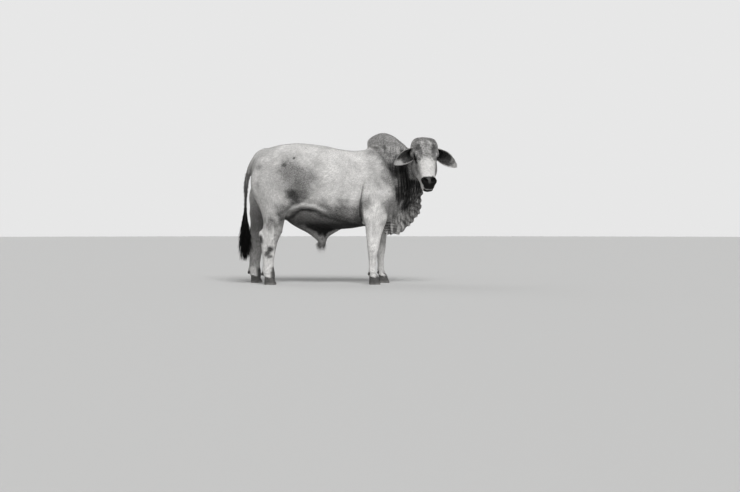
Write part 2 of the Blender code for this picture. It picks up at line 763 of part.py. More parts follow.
def foot_places():
    """Every foot: name, x of its claws, y of its middle, x of its fetlock's rear."""
    places = []
    for side_name, side in SIDES:
        hind_step = between(HIND_STEP, 0.05) if side > 0 else 0.0
        fore_step = between(FORE_STEP, 0.05) if side > 0 else 0.0
        places.append(("hind_" + side_name, HIND_CLAW_X + hind_step, side * HIND_FOOT_Y,
                       HIND_FETLOCK_X + hind_step))
        places.append(("fore_" + side_name, FORE_CLAW_X + fore_step, side * FORE_FOOT_Y,
                       FORE_FETLOCK_X + fore_step))
    return places


def claw(name, x, y, into):
    """One claw of a cloven hoof, flat on the floor."""
    rings = []
    for z, rear, front, half in CLAW:
        centre = Vector((x + (rear + front) / 2, y, z))
        rings.append(oval(centre, Vector((1, 0, 0)), Vector((0, 1, 0)), (front - rear) / 2,
                          half, half, 2.4, 14))
    return mesh_object(name, *loft(rings), into)


def solid_ball(name, centre, radii, into, tilt=(0, 0, 0), place=None, detail=(18, 11)):
    """A closed ellipsoid as an object."""
    return mesh_object(name, *ball(centre, radii, tilt, place, detail), into)


def swollen(piece, by, work):
    """A copy of a piece grown all round, to cut its seat out of a neighbour."""
    grown = piece.copy()
    grown.data = piece.data.copy()
    work.objects.link(grown)
    step = grown.modifiers.new("Grow", "DISPLACE")
    step.strength = by
    step.mid_level = 0.0
    return as_cutter(apply_modifiers(grown))


def sheet(name, rows, work, thickness=GAP):
    """A thin closed cutter: a ruled strip between pairs of points."""
    points = [Vector(p) for pair in rows for p in pair]
    faces = [(2 * i, 2 * i + 1, 2 * i + 3, 2 * i + 2) for i in range(len(rows) - 1)]
    mesh = bpy.data.meshes.new(name)
    mesh.from_pydata(points, [], faces)
    made = bpy.data.objects.new(name, mesh)
    work.objects.link(made)
    step = made.modifiers.new("Thickness", "SOLIDIFY")
    step.thickness = thickness
    step.offset = 0.0
    step.use_even_offset = True
    return as_cutter(apply_modifiers(made))


def profile(path, low, high):
    """Rows of a sheet that stands on an (x, z) path and runs across the body."""
    return [((x, low, z), (x, high, z)) for x, z in path]


def node_cuts():
    """The curved cuts between the named parts of the flesh, as rows of point pairs."""
    cuts = [profile(HUMP_CUT, -0.22, 0.22)]
    cuts.append(profile((NECK_CUT_TOP, NECK_CUT_FOOT), -0.40, 0.40))
    cuts.append(profile(BRISKET_CUT, -0.09, 0.09))
    cuts.append(profile(THROAT_CUT, -0.172, 0.12))
    cuts.append([((x, y, low), (x, y, 1.62)) for x, y, low in HEAD_CUT])
    cuts.append(profile(TAIL_ROOT_CUT, -0.13, 0.13))
    cuts.append([((-0.84, -0.07, TAIL_MIDDLE), (-0.84, 0.05, TAIL_MIDDLE)),
                 ((-0.725, -0.07, TAIL_MIDDLE), (-0.725, 0.05, TAIL_MIDDLE))])
    cuts.append([((-0.84, -0.07, SWITCH_TOP), (-0.84, 0.05, SWITCH_TOP)),
                 ((-0.725, -0.07, SWITCH_TOP), (-0.725, 0.05, SWITCH_TOP))])
    cuts.append([((-0.36, -0.09, SHEATH_CUT), (-0.36, 0.09, SHEATH_CUT)),
                 ((0.34, -0.09, SHEATH_CUT), (0.34, 0.09, SHEATH_CUT))])
    cuts.append([((-0.53, -0.075, SCROTUM_CUT), (-0.53, 0.075, SCROTUM_CUT)),
                 ((-0.372, -0.075, SCROTUM_CUT), (-0.372, 0.075, SCROTUM_CUT))])
    for _, side in SIDES:
        hind = between(HIND_STEP, 0.7) if side > 0 else 0.0
        fore = between(FORE_STEP, 0.5) if side > 0 else 0.0
        cuts.append([((-0.70 + hind, side * 0.088, 0.655), (-0.70 + hind, side * 0.44, 0.865)),
                     ((-0.24, side * 0.088, 0.655), (-0.24, side * 0.44, 0.865))])
        cuts.append([((0.40, side * 0.072, 0.568), (0.40, side * 0.42, 0.790)),
                     ((0.80, side * 0.072, 0.568), (0.80, side * 0.42, 0.790))])
        hock = between(HIND_STEP, HOCK_CUT) if side > 0 else 0.0
        cuts.append([((-0.66 + hock, side * 0.09, HOCK_CUT), (-0.66 + hock, side * 0.30, HOCK_CUT)),
                     ((-0.34 + hock, side * 0.09, HOCK_CUT), (-0.34 + hock, side * 0.30, HOCK_CUT))])
        cuts.append([((0.43 + fore, side * 0.08, KNEE_CUT), (0.43 + fore, side * 0.27, KNEE_CUT)),
                     ((0.68 + fore, side * 0.08, KNEE_CUT), (0.68 + fore, side * 0.27, KNEE_CUT))])
    return cuts


def islands(piece):
    """The separate closed surfaces of a mesh, each as a set of face indices and its middle."""
    shape = bmesh.new()
    shape.from_mesh(piece.data)
    shape.faces.ensure_lookup_table()
    seen = set()
    groups = []
    for start in shape.faces:
        if start.index in seen:
            continue
        stack = [start]
        seen.add(start.index)
        members = []
        while stack:
            face = stack.pop()
            members.append(face.index)
            for edge in face.edges:
                for other in edge.link_faces:
                    if other.index not in seen:
                        seen.add(other.index)
                        stack.append(other)
        low = Vector((1e9,) * 3)
        high = Vector((-1e9,) * 3)
        for i in members:
            for v in shape.faces[i].verts:
                for k in range(3):
                    low[k] = min(low[k], v.co[k])
                    high[k] = max(high[k], v.co[k])
        groups.append((set(members), (low + high) / 2, (high - low).length))
    shape.free()
    return groups


def keep_faces(piece, members, name, into):
    """A new object with some of a mesh's faces."""
    shape = bmesh.new()
    shape.from_mesh(piece.data)
    shape.faces.ensure_lookup_table()
    drop = [f for f in shape.faces if f.index not in members]
    bmesh.ops.delete(shape, geom=drop, context="FACES")
    mesh = bpy.data.meshes.new(name)
    shape.to_mesh(mesh)
    shape.free()
    made = bpy.data.objects.new(name, mesh)
    into.objects.link(made)
    return made


def keep_largest(piece):
    """Drops every closed surface of a mesh but the largest."""
    groups = islands(piece)
    best = max(groups, key=lambda g: g[2])
    kept = keep_faces(piece, best[0], "kept", bpy.context.scene.collection)
    piece.data = kept.data
    bpy.data.objects.remove(kept)
    return piece


def split_flesh(skin, bull):
    """Names the parted pieces of flesh after the nearest expected middle."""
    groups = [g for g in islands(skin) if g[2] > 0.06]
    for name, spot in FLESH_NODES.items():
        best = min(groups, key=lambda g: (g[1] - Vector(spot)).length)
        keep_faces(skin, best[0], name, bull)
        groups.remove(best)


def mirror_w(point, side):
    """A face coordinate on the given side of the head."""
    return Vector((point[0], side * point[1], point[2]))


def eye_frame(side):
    """The matrix of one eye: x along the slit, y up from it, z along the gaze, unscaled."""
    axes = HEAD.to_3x3().normalized()
    gaze = (axes @ mirror_w(EYE_GAZE, side)).normalized()
    slit = axes @ Vector((1.0, side * -0.12, 0.10))
    slit = (slit - gaze * slit.dot(gaze)).normalized()
    lift = gaze.cross(slit)
    frame = Matrix((slit, lift, gaze)).transposed().to_4x4()
    return Matrix.Translation(HEAD @ mirror_w(EYE, side)) @ frame


def slit_cutter(name, side, work):
    """The almond opening between the lids, as a prism along the gaze."""
    place = eye_frame(side)
    long, tall = EYE_SLIT
    count = 20
    rings = []
    for reach in (0.006, 0.050):
        ring = []
        for i in range(count):
            a = 2 * math.pi * i / count
            x = math.cos(a) * long
            y = math.sin(a) * tall * (1 - 0.35 * abs(math.cos(a)))
            ring.append(place @ Vector((x, y, reach)))
        rings.append(ring)
    return as_cutter(mesh_object(name, *loft(rings), work))


def cut_head_features(skin, bull, work):
    """Lids, eyes, nostrils and the line of the mouth."""
    for side_name, side in SIDES:
        place = eye_frame(side)
        middle = place.to_translation()
        lid = solid_ball("lid_" + side_name, middle, (EYE_RADIUS + LID,) * 3, work)
        boolean(skin, lid, "UNION")
        boolean(skin, slit_cutter("slit_" + side_name, side, work), "DIFFERENCE")
        eye = solid_ball("eye_" + side_name, middle, (EYE_RADIUS,) * 3, bull)
        boolean(skin, swollen(eye, SEAT, work), "DIFFERENCE")
        bpy.data.objects.remove(lid)
    for side_name, side in SIDES:
        pit = solid_ball("nostril_" + side_name, mirror_w(NOSTRIL, side), (0.017, 0.0095, 0.020),
                         work, (side * -28, 0, side * 34), HEAD, (14, 9))
        boolean(skin, as_cutter(pit), "DIFFERENCE")
    rows = [(HEAD @ Vector((u, -0.12, v)), HEAD @ Vector((u, 0.12, v))) for u, v in MOUTH]
    boolean(skin, sheet("mouth", rows, work, MOUTH_SLOT), "DIFFERENCE")


def ear(side_name, side, skin, bull, work):
    """A long drooping ear: a leaf rolled into a cup at its root, open to the front."""
    out = HEAD.to_3x3().normalized() @ Vector((0, side, 0))
    ahead = Vector((math.cos(HEAD_TURN), math.sin(HEAD_TURN), 0))
    drop = Vector((0, 0, -1))
    root = HEAD @ mirror_w(EAR_ROOT, side)
    places = Matrix((out, drop, ahead)).transposed()
    bend = root + places @ Vector(EAR_BEND[side_name])
    tip = root + places @ Vector(EAR_TIP[side_name])
    steps, across = 9, 6
    rows = []
    for i in range(steps + 1):
        t = i / steps
        spine = root * (1 - t) ** 2 + bend * (2 * t * (1 - t)) + tip * t ** 2
        along = ((bend - root) * (1 - t) + (tip - bend) * t).normalized()
        face = ahead * 0.95 + drop * 0.10
        face = (face - along * face.dot(along)).normalized()
        wide = along.cross(face)
        roll = math.radians(88 * (1 - t) ** 1.3 + 34)
        half = between(EAR_HALF_WIDTH, t) / math.sin(min(roll, math.pi / 2))
        row = []
        for j in range(across + 1):
            a = (2 * j / across - 1) * roll
            cup = face * (half * 0.9 * (1 - math.cos(a)))
            row.append(spine + wide * (half * math.sin(a)) + cup)
        rows.append(row)
    faces = []
    for i in range(steps):
        for j in range(across):
            a = i * (across + 1) + j
            b = a + across + 1
            faces.append((a, a + 1, b + 1))
            faces.append((a, b + 1, b))
    mesh = bpy.data.meshes.new("ear_" + side_name)
    mesh.from_pydata([p for row in rows for p in row], [], faces)
    made = bpy.data.objects.new("ear_" + side_name, mesh)
    bull.objects.link(made)
    step = made.modifiers.new("Thickness", "SOLIDIFY")
    step.thickness = EAR_SKIN
    step.offset = 0.0
    apply_modifiers(made)
    boolean(made, swollen(skin, SEAT, work), "DIFFERENCE")
    return keep_largest(made)


def lock(root, tip, bow, width, thickness, spin):
    """A flat tapered lock of hair from root to tip, bowed to one side."""
    rings = []
    steps = 5
    for i in range(steps + 1):
        t = i / steps
        centre = root.lerp(tip, t) + bow * math.sin(math.pi * t)
        turn = spin + 0.8 * t
        flat = Vector((math.cos(turn), math.sin(turn), 0))
        thin = Vector((-math.sin(turn), math.cos(turn), 0))
        size = (0.75 + 0.5 * math.sin(math.pi * min(1.0, t * 1.25))) * (1 - 0.93 * t ** 2.2)
        wide = flat * (width * size / 2)
        deep = thin * (thickness * size / 2)
        rings.append([centre + wide, centre + deep, centre - wide, centre - deep])
    return loft(rings)


def tail_switch(bull, work):
    """The black brush of the tail: a short core with long locks round it."""
    rng = random.Random(7)
    rings = []
    x = TAIL[-1][0]
    for z, radius in ((SWITCH_TOP - GAP, 0.0165),) + SWITCH_CORE:
        rings.append(oval(Vector((x, TAIL_Y, z)), Vector((1, 0, 0)), Vector((0, 1, 0)), radius,
                          radius, radius, 2.0, 12))
    core = mesh_object("tail_switch", *loft(rings), bull)
    locks = collection("locks")
    for tier, (z, spread, low, bend) in enumerate(SWITCH_TIERS):
        count = 5 + tier
        for i in range(count):
            a = 2 * math.pi * (i + 0.5 * (tier % 2)) / count + rng.uniform(-0.2, 0.2)
            out = Vector((math.cos(a), 0.62 * math.sin(a), 0))
            root = Vector((x, TAIL_Y, z)) + out * 0.008
            tip = Vector((x - 0.012, TAIL_Y, low + rng.uniform(0.0, 0.05)))
            tip += out * spread * rng.uniform(0.5, 1.0)
            bow = out * bend * rng.uniform(0.8, 1.3)
            form = lock(root, tip, bow, rng.uniform(*LOCK_WIDTH), LOCK_THICKNESS, a + math.pi / 2)
            mesh_object("lock_%d_%d" % (tier, i), *form, locks)
    step = core.modifiers.new("Locks", "BOOLEAN")
    step.operation = "UNION"
    step.operand_type = "COLLECTION"
    step.collection = locks
    step.solver = "EXACT"
    apply_modifiers(core)
    for old in list(locks.objects):
        bpy.data.objects.remove(old)
    bpy.data.collections.remove(locks)
    return keep_largest(core)


def feet(skin, bull, work):
    """Cloven hooves and dewclaws; the leg ends on the sloping coronet above the claws."""
    for name, x, y, rear in foot_places():
        middle = Vector((x, y, CORONET))
        boolean(skin, cut_box("below_" + name, CORONET_SLOPE, middle, False, work), "DIFFERENCE")
        top = cut_box("above_" + name, CORONET_SLOPE, middle, True, work)
        for claw_name, lean in (("outer", 1), ("inner", -1)):
            offset = math.copysign((CLAW_WIDTH + CLAW_SPLIT) / 2, y) * lean
            spread = math.copysign(DEWCLAW_SPREAD, y)
            made = claw("claw_%s_%s" % (name, claw_name), x, y + offset, bull)
            boolean(made, top, "DIFFERENCE")
            spur = solid_ball("dewclaw_%s_%s" % (name, claw_name),
                              (rear + DEWCLAW_SINK, y + spread * lean, DEWCLAW_HEIGHT),
                              DEWCLAW, bull, (0, DEWCLAW_LEAN, 0), detail=(10, 7))
            boolean(skin, swollen(spur, SEAT, work), "DIFFERENCE")


def finish(bull):
    """Gives every part its material and soft shading, and moves the bull over the origin."""
    made = {name: material(name, *look) for name, look in SURFACES.items()}
    for piece in bull.objects:
        surface = next(look for start, look in NODE_SURFACES if piece.name.startswith(start))
        piece.data.materials.clear()
        piece.data.materials.append(made[surface])
        piece.data.shade_smooth()
        piece.data.set_sharp_from_angle(angle=SHARP_EDGE)
        piece.location = -ORIGIN


def main():
    for old in list(bpy.data.objects):
        bpy.data.objects.remove(old)
    bull = collection("brahman_bull")
    work = collection("cutters")
    skin = body_skin(work)
    thin_out(skin, SKIN_TRIANGLES)
    feet(skin, bull, work)
    cut_head_features(skin, bull, work)
    for side_name, side in SIDES:
        ear(side_name, side, skin, bull, work)
    for i, rows in enumerate(node_cuts()):
        boolean(skin, sheet("cut_%02d" % i, rows, work), "DIFFERENCE")
    split_flesh(skin, bull)
    bpy.data.objects.remove(skin)
    tail_switch(bull, work)
    finish(bull)


main()
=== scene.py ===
"""The finished look of the Brahman bull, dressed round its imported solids.

The flesh is fused from the same named forms as the solids, only finer, into one hide without
seams. The hide is creased, marked and covered with short tufts that follow the lie of the coat.
Ears, eyes, lids, hooves and the brush of the tail are pieces of their own.

Everything is modelled in the body's own frame, where +X is the bull's front, +Y its left, +Z up,
y = 0 the plane of its spine and z = 0 the floor, in metres, and then moves by -ORIGIN.
"""

import json
import math

import bmesh
import bpy
import numpy as np
from mathutils import Matrix, Vector

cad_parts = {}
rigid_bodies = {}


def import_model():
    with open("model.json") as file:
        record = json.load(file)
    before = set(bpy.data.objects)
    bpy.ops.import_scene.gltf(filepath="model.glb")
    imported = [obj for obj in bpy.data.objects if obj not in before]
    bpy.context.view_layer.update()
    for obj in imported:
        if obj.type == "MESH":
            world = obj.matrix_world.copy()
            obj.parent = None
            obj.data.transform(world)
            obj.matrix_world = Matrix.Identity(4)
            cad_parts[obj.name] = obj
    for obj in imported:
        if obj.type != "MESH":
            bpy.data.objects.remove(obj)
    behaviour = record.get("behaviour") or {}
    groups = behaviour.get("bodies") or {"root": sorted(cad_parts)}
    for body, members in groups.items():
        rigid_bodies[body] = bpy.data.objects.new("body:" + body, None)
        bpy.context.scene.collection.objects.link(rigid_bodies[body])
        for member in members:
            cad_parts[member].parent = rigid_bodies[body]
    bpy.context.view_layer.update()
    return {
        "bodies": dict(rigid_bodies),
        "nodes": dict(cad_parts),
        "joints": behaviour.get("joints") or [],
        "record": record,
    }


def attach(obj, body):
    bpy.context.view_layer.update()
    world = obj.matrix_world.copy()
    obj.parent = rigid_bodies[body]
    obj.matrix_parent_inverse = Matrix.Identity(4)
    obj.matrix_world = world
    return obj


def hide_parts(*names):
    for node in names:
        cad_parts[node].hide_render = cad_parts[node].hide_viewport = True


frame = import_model()

# Driving sizes
HEAD_SCALE = 1.05
HEAD_TURN = math.radians(-82)
HEAD_PITCH = math.radians(33)
HEAD_ROLL = math.radians(-1.3)
POLL = Vector((1.077, -0.180, 1.507))
ORIGIN = Vector((0.277, -0.084, 0.0))

# Grain of the fused masses and of the hide, depth of the coat over it, points round a section
CORE_VOXEL = 0.012
HIDE_VOXEL = 0.0074
COAT_DEPTH = 0.0020
RING_POINTS = 28

# Rounds of relaxing: the masses, the whole hide, its trunk once more, and each refined zone
CORE_ROUNDS = 22
HIDE_ROUNDS = 7
TRUNK_ROUNDS = 24
ZONE_ROUNDS = 3

# Trunk: x, top, bottom, half width, share of the height under the widest line, squareness
TRUNK = (
    (-0.700, 1.235, 1.000, 0.085, 0.50, 2.0),
    (-0.655, 1.325, 0.920, 0.150, 0.52, 2.0),
    (-0.580, 1.385, 0.840, 0.208, 0.54, 2.1),
    (-0.480, 1.420, 0.760, 0.245, 0.56, 2.2),
    (-0.360, 1.445, 0.715, 0.264, 0.52, 2.2),
    (-0.240, 1.455, 0.690, 0.282, 0.48, 2.1),
    (-0.120, 1.449, 0.650, 0.297, 0.46, 2.1),
    (0.000, 1.434, 0.600, 0.310, 0.46, 2.15),
    (0.120, 1.411, 0.563, 0.319, 0.45, 2.2),
    (0.240, 1.388, 0.560, 0.318, 0.45, 2.2),
    (0.360, 1.374, 0.572, 0.300, 0.46, 2.2),
    (0.460, 1.385, 0.590, 0.276, 0.47, 2.1),
    (0.560, 1.400, 0.600, 0.252, 0.48, 2.1),
    (0.660, 1.390, 0.610, 0.228, 0.48, 2.0),
    (0.760, 1.340, 0.640, 0.185, 0.48, 2.0),
    (0.830, 1.270, 0.700, 0.130, 0.48, 2.0),
)

# Hump, in the same columns: it leans back over the withers
HUMP = (
    (0.476, 1.470, 1.430, 0.020, 0.5, 2.0),
    (0.496, 1.498, 1.405, 0.052, 0.5, 2.0),
    (0.535, 1.526, 1.370, 0.076, 0.5, 2.1),
    (0.595, 1.556, 1.330, 0.092, 0.5, 2.2),
    (0.660, 1.564, 1.300, 0.097, 0.5, 2.2),
    (0.720, 1.553, 1.260, 0.094, 0.5, 2.2),
    (0.780, 1.526, 1.220, 0.090, 0.5, 2.1),
    (0.840, 1.477, 1.200, 0.086, 0.5, 2.0),
    (0.900, 1.425, 1.200, 0.078, 0.5, 2.0),
)

# Neck: x, y, heading in degrees, top, bottom, half width
NECK = (
    (0.640, 0.000, 0, 1.390, 0.720, 0.200),
    (0.740, 0.000, -4, 1.390, 0.740, 0.185),
    (0.830, -0.012, -14, 1.395, 0.800, 0.160),
    (0.905, -0.040, -28, 1.398, 0.920, 0.138),
    (0.970, -0.082, -45, 1.405, 1.040, 0.120),
    (1.020, -0.135, -62, 1.415, 1.130, 0.108),
)

# Dewlap: z, rear, front, middle in y, half thickness
DEWLAP = (
    (1.150, 0.940, 1.075, -0.115, 0.045),
    (1.060, 0.860, 1.088, -0.105, 0.050),
    (0.980, 0.820, 1.082, -0.085, 0.052),
    (0.900, 0.780, 1.062, -0.062, 0.052),
    (0.840, 0.740, 1.054, -0.045, 0.052),
    (0.780, 0.700, 1.054, -0.030, 0.050),
    (0.720, 0.670, 1.036, -0.020, 0.047),
    (0.665, 0.650, 0.988, -0.010, 0.044),
    (0.620, 0.645, 0.960, 0.000, 0.041),
    (0.570, 0.650, 0.905, 0.000, 0.036),
    (0.530, 0.655, 0.862, 0.000, 0.030),
    (0.500, 0.675, 0.820, 0.000, 0.018),
)
DEWLAP_FOLD = 0.062
DEWLAP_SWAY = 0.014
DEWLAP_HEART = (0.74, 0.86)
# The length of one scallop of its free edge, and the depths of its notches, sway and grooves
LOBE = 0.058
NOTCH_DEPTH = 0.018
EDGE_SWAY = 0.012
GROOVE_DEPTH = 0.0070
# How many pleats run down the neck and the dewlap, and wrinkles across the brisket
NECK_PLEATS = 10
DEWLAP_PLEATS = 7
BRISKET_WRINKLES = 5

# Legs: z, rear, front, middle in y (right leg), half width in y
HIND_LEG = (
    (1.240, -0.640, -0.330, -0.130, 0.070),
    (1.140, -0.695, -0.285, -0.150, 0.105),
    (1.040, -0.707, -0.262, -0.165, 0.122),
    (0.940, -0.692, -0.268, -0.175, 0.122),
    (0.850, -0.650, -0.293, -0.182, 0.112),
    (0.770, -0.607, -0.314, -0.188, 0.098),
    (0.690, -0.577, -0.336, -0.192, 0.085),
    (0.610, -0.568, -0.354, -0.194, 0.072),
    (0.550, -0.585, -0.368, -0.195, 0.062),
    (0.500, -0.602, -0.386, -0.195, 0.058),
    (0.450, -0.597, -0.412, -0.195, 0.055),
    (0.400, -0.590, -0.426, -0.195, 0.050),
    (0.330, -0.583, -0.442, -0.195, 0.046),
    (0.250, -0.577, -0.453, -0.195, 0.043),
    (0.180, -0.576, -0.457, -0.195, 0.045),
    (0.135, -0.582, -0.450, -0.195, 0.053),
    (0.100, -0.570, -0.445, -0.195, 0.056),
    (0.070, -0.556, -0.448, -0.195, 0.061),
    (0.030, -0.556, -0.446, -0.195, 0.060),
)
FORE_LEG = (
    (0.950, 0.500, 0.760, -0.200, 0.070),
    (0.850, 0.470, 0.742, -0.192, 0.082),
    (0.750, 0.455, 0.716, -0.182, 0.085),
    (0.660, 0.456, 0.697, -0.175, 0.078),
    (0.600, 0.466, 0.674, -0.172, 0.070),
    (0.540, 0.471, 0.650, -0.170, 0.062),
    (0.480, 0.478, 0.632, -0.170, 0.056),
    (0.420, 0.485, 0.618, -0.170, 0.055),
    (0.360, 0.489, 0.606, -0.170, 0.056),
    (0.310, 0.497, 0.594, -0.170, 0.048),
    (0.250, 0.503, 0.582, -0.170, 0.038),
    (0.190, 0.505, 0.576, -0.170, 0.036),
    (0.140, 0.501, 0.578, -0.170, 0.043),
    (0.105, 0.505, 0.590, -0.170, 0.050),
    (0.075, 0.508, 0.607, -0.170, 0.059),
    (0.050, 0.508, 0.612, -0.170, 0.060),
    (0.030, 0.510, 0.612, -0.170, 0.058),
)
# How far the left legs stand behind or ahead of the right ones: z, step
HIND_STEP = ((0.0, -0.184), (0.20, -0.182), (0.35, -0.170), (0.50, -0.166), (0.62, -0.180),
             (0.72, -0.170), (0.85, -0.110), (1.00, -0.035), (1.15, 0.0))
FORE_STEP = ((0.0, 0.100), (0.20, 0.090), (0.45, 0.068), (0.60, 0.040), (0.80, 0.0))
LEG_SQUARE = 2.15
# The point of the right hock, and half the sizes of its bone
HOCK_POINT = Vector((-0.592, 0.195, 0.505))
HOCK_SIZE = (0.024, 0.026, 0.050)

# Skull, along the face from the poll: u, top, bottom, half width
SKULL = (
    (-0.015, -0.030, -0.120, 0.088),
    (0.015, -0.006, -0.160, 0.122),
    (0.065, 0.008, -0.180, 0.136),
    (0.130, 0.012, -0.180, 0.134),
    (0.190, 0.010, -0.170, 0.122),
    (0.250, 0.002, -0.150, 0.106),
    (0.320, -0.004, -0.130, 0.090),
    (0.390, -0.006, -0.115, 0.077),
    (0.450, -0.006, -0.105, 0.070),
    (0.498, -0.006, -0.100, 0.072),
    (0.540, -0.016, -0.098, 0.065),
    (0.570, -0.040, -0.092, 0.050),
)
JAW = (
    (0.060, -0.080, -0.200, 0.092),
    (0.150, -0.100, -0.262, 0.104),
    (0.220, -0.110, -0.272, 0.106),
    (0.300, -0.090, -0.254, 0.096),
    (0.380, -0.080, -0.222, 0.079),
    (0.460, -0.080, -0.188, 0.064),
    (0.520, -0.085, -0.166, 0.057),
    (0.558, -0.095, -0.148, 0.047),
)
SKULL_SQUARE = 2.6
JAW_SQUARE = 2.2

# Sheath: z, rear, front, middle in y, half thickness
SHEATH = (
    (0.690, -0.370, 0.300, 0.0, 0.080),
    (0.630, -0.330, 0.280, 0.0, 0.070),
    (0.575, -0.240, 0.240, 0.0, 0.058),
    (0.530, -0.145, 0.170, 0.0, 0.048),
    (0.480, -0.075, 0.092, 0.0, 0.042),
    (0.440, -0.030, 0.070, 0.0, 0.038),
    (0.405, 0.002, 0.056, 0.0, 0.032),
    (0.386, 0.016, 0.044, 0.0, 0.022),
)

TAIL_Y = -0.015
# Tail: x, z and radius along its middle
TAIL = (
    (-0.540, 1.370, 0.044),
    (-0.612, 1.346, 0.043),
    (-0.672, 1.282, 0.038),
    (-0.718, 1.206, 0.033),
    (-0.746, 1.115, 0.029),
    (-0.764, 1.010, 0.026),
    (-0.768, 0.900, 0.022),
    (-0.770, 0.800, 0.018),
    (-0.770, 0.730, 0.015),
)
SWITCH_TOP = 0.775
# The brush: locks, points along each and clumps; then the core inside it as height and radius
BRUSH_LOCKS = 1300
BRUSH_STATIONS = 8
BRUSH_CLUMPS = 11
BRUSH_CORE = ((SWITCH_TOP + 0.01, 0.014), (0.72, 0.0165), (0.62, 0.021), (0.54, 0.018), (0.50, 0.006))

# Forms on both sides: middle of the left one, half sizes, lean about y in degrees
MUSCLES = (
    ((0.620, 0.178, 1.075), (0.140, 0.080, 0.290), -20),
    ((0.560, 0.198, 0.850), (0.125, 0.078, 0.140), 25),
    ((0.720, 0.150, 0.900), (0.085, 0.080, 0.110), 0),
    ((-0.300, 0.160, 1.265), (0.150, 0.098, 0.130), 0),
    ((-0.560, 0.140, 1.210), (0.100, 0.085, 0.120), 0),
    ((-0.300, 0.215, 0.830), (0.130, 0.050, 0.085), -32),
)
SCROTUM_HALF = ((-0.430, 0.033, 0.575), (0.046, 0.040, 0.082))
SCROTUM_NECK = ((-0.430, 0.0, 0.680), (0.036, 0.045, 0.100))
SCROTUM_ROOT = ((-0.385, 0.0, 0.725), (0.110, 0.075, 0.070))
# Cheek, brow, pad of the muzzle, lip and root of the ear, in face coordinates
HEAD_PADS = (
    ((0.255, 0.079, -0.150), (0.125, 0.044, 0.080)),
    ((0.215, 0.092, -0.040), (0.046, 0.028, 0.038)),
    ((0.515, 0.036, -0.044), (0.052, 0.040, 0.044)),
    ((0.430, 0.046, -0.092), (0.060, 0.026, 0.040)),
    ((0.138, 0.112, -0.096), (0.046, 0.036, 0.040)),
)
POLL_PAD = ((0.020, 0.0, -0.090), (0.060, 0.090, 0.070))

# Head features in face coordinates: along the face, out to the side, out of the face
EYE = Vector((0.226, 0.096, -0.046))
EYE_RADIUS = 0.0235
LID = 0.0048
EYE_SLIT = (0.0205, 0.0128)
LID_AT = 1.06
EYE_GAZE = Vector((0.10, 0.84, 0.53)).normalized()
NOSTRIL = Vector((0.525, 0.044, -0.016))
MOUTH = ((0.600, -0.090), (0.560, -0.082), (0.510, -0.080), (0.460, -0.092), (0.425, -0.112))

# Ears: the root, then the middle line's bend and tip as reach out, drop and reach ahead of the root
EAR_ROOT = Vector((0.124, 0.112, -0.100))
EAR_BEND = {"right": (0.108, 0.060, 0.030), "left": (0.105, 0.055, 0.0)}
EAR_TIP = {"right": (0.202, 0.132, 0.055), "left": (0.214, 0.136, 0.010)}
EAR_HALF_WIDTH = ((0.0, 0.052), (0.15, 0.060), (0.35, 0.066), (0.55, 0.061), (0.75, 0.045),
                  (0.90, 0.025), (1.0, 0.005))
EAR_SKIN = 0.008
# Cells of an ear's sheet along and across it
EAR_CELLS = (44, 30)
# Hairs of an ear's rim and of its cup: count, lengths, half widths, their spread, shades, share of the
# length that each point reaches along its way and falls, and spread in the bake map
RIM_HAIR = (900, (0.008, 0.016), (0.0007, 0.0006), (0.8, 1.3), (0.30, 0.60),
            ((0.55, 0.0), (1.0, 0.15)), 0.1)
CUP_HAIR = (320, (0.020, 0.042), (0.0007, 0.0007, 0.0005), (0.7, 1.3), (0.03, 0.26),
            ((0.4, 0.0), (0.75, 0.08), (1.0, 0.25)), 0.0)
LASH_COUNT = 90
LASH_BENDS = ((0.45, 0.0), (0.80, 0.25), (1.0, 0.60))

# Claws and the spurs behind the fetlocks
CLAW_WIDTH = 0.056
CLAW_SPLIT = 0.006
DEWCLAW = (0.016, 0.013, 0.022)
DEWCLAW_HEIGHT = 0.112
DEWCLAW_LEAN = 28
DEWCLAW_SINK = 0.004
DEWCLAW_SPREAD = 0.024

# Feet: leg, its steps, x of the claws, y of the left foot, x of the fetlock's rear
FEET = (("hind_", HIND_STEP, -0.496, 0.195, -0.574), ("fore_", FORE_STEP, 0.564, 0.170, 0.508))
CORONET = 0.070
CORONET_SLOPE = 0.22
# Hooves: points round a claw and levels, squareness, growth rings as spacing and relief, wear as height
# and depth
HOOF_POINTS = (44, 26)
WALL_SQUARE = 2.4
GROWTH = (0.0085, 0.00045)
WEAR = (0.006, 0.0015)
# One claw: z, rear and front of its middle, half width
CLAW = (
    (0.000, -0.055, 0.063, 0.0265),
    (0.010, -0.056, 0.061, 0.0278),
    (0.040, -0.054, 0.049, 0.0272),
    (0.070, -0.051, 0.038, 0.0260),
    (0.105, -0.046, 0.026, 0.0230),
)
# The edge of the square that one tuft fills in the bake map
PATCH = 0.003
# Where one piece of the coat passes into the next along the body
COAT_EDGES = (-0.36, -0.02, 0.30, 0.58, 0.80)
# The turn from one edge of a three-edged lock to the next
LOCK_TURN = 2.0944
# How far the head reaches, by place along the face: its half width and its lower edge
HEAD_REACH = ((-0.02, 0.065, 0.15, 0.22, 0.30, 0.38, 0.46, 0.52, 0.58),
              (0.125, 0.160, 0.155, 0.140, 0.124, 0.110, 0.098, 0.092, 0.085),
              (-0.10, -0.180, -0.262, -0.275, -0.260, -0.228, -0.195, -0.172, -0.150))

# The nostril's comma in face coordinates, and the way it runs into the head
NOSTRIL_PATH = (Vector((0.521, 0.031, -0.014)), Vector((0.512, 0.044, -0.012)),
                Vector((0.500, 0.056, -0.017)), Vector((0.491, 0.063, -0.030)))
NOSTRIL_INWARD = Vector((-0.40, -0.30, -0.86))
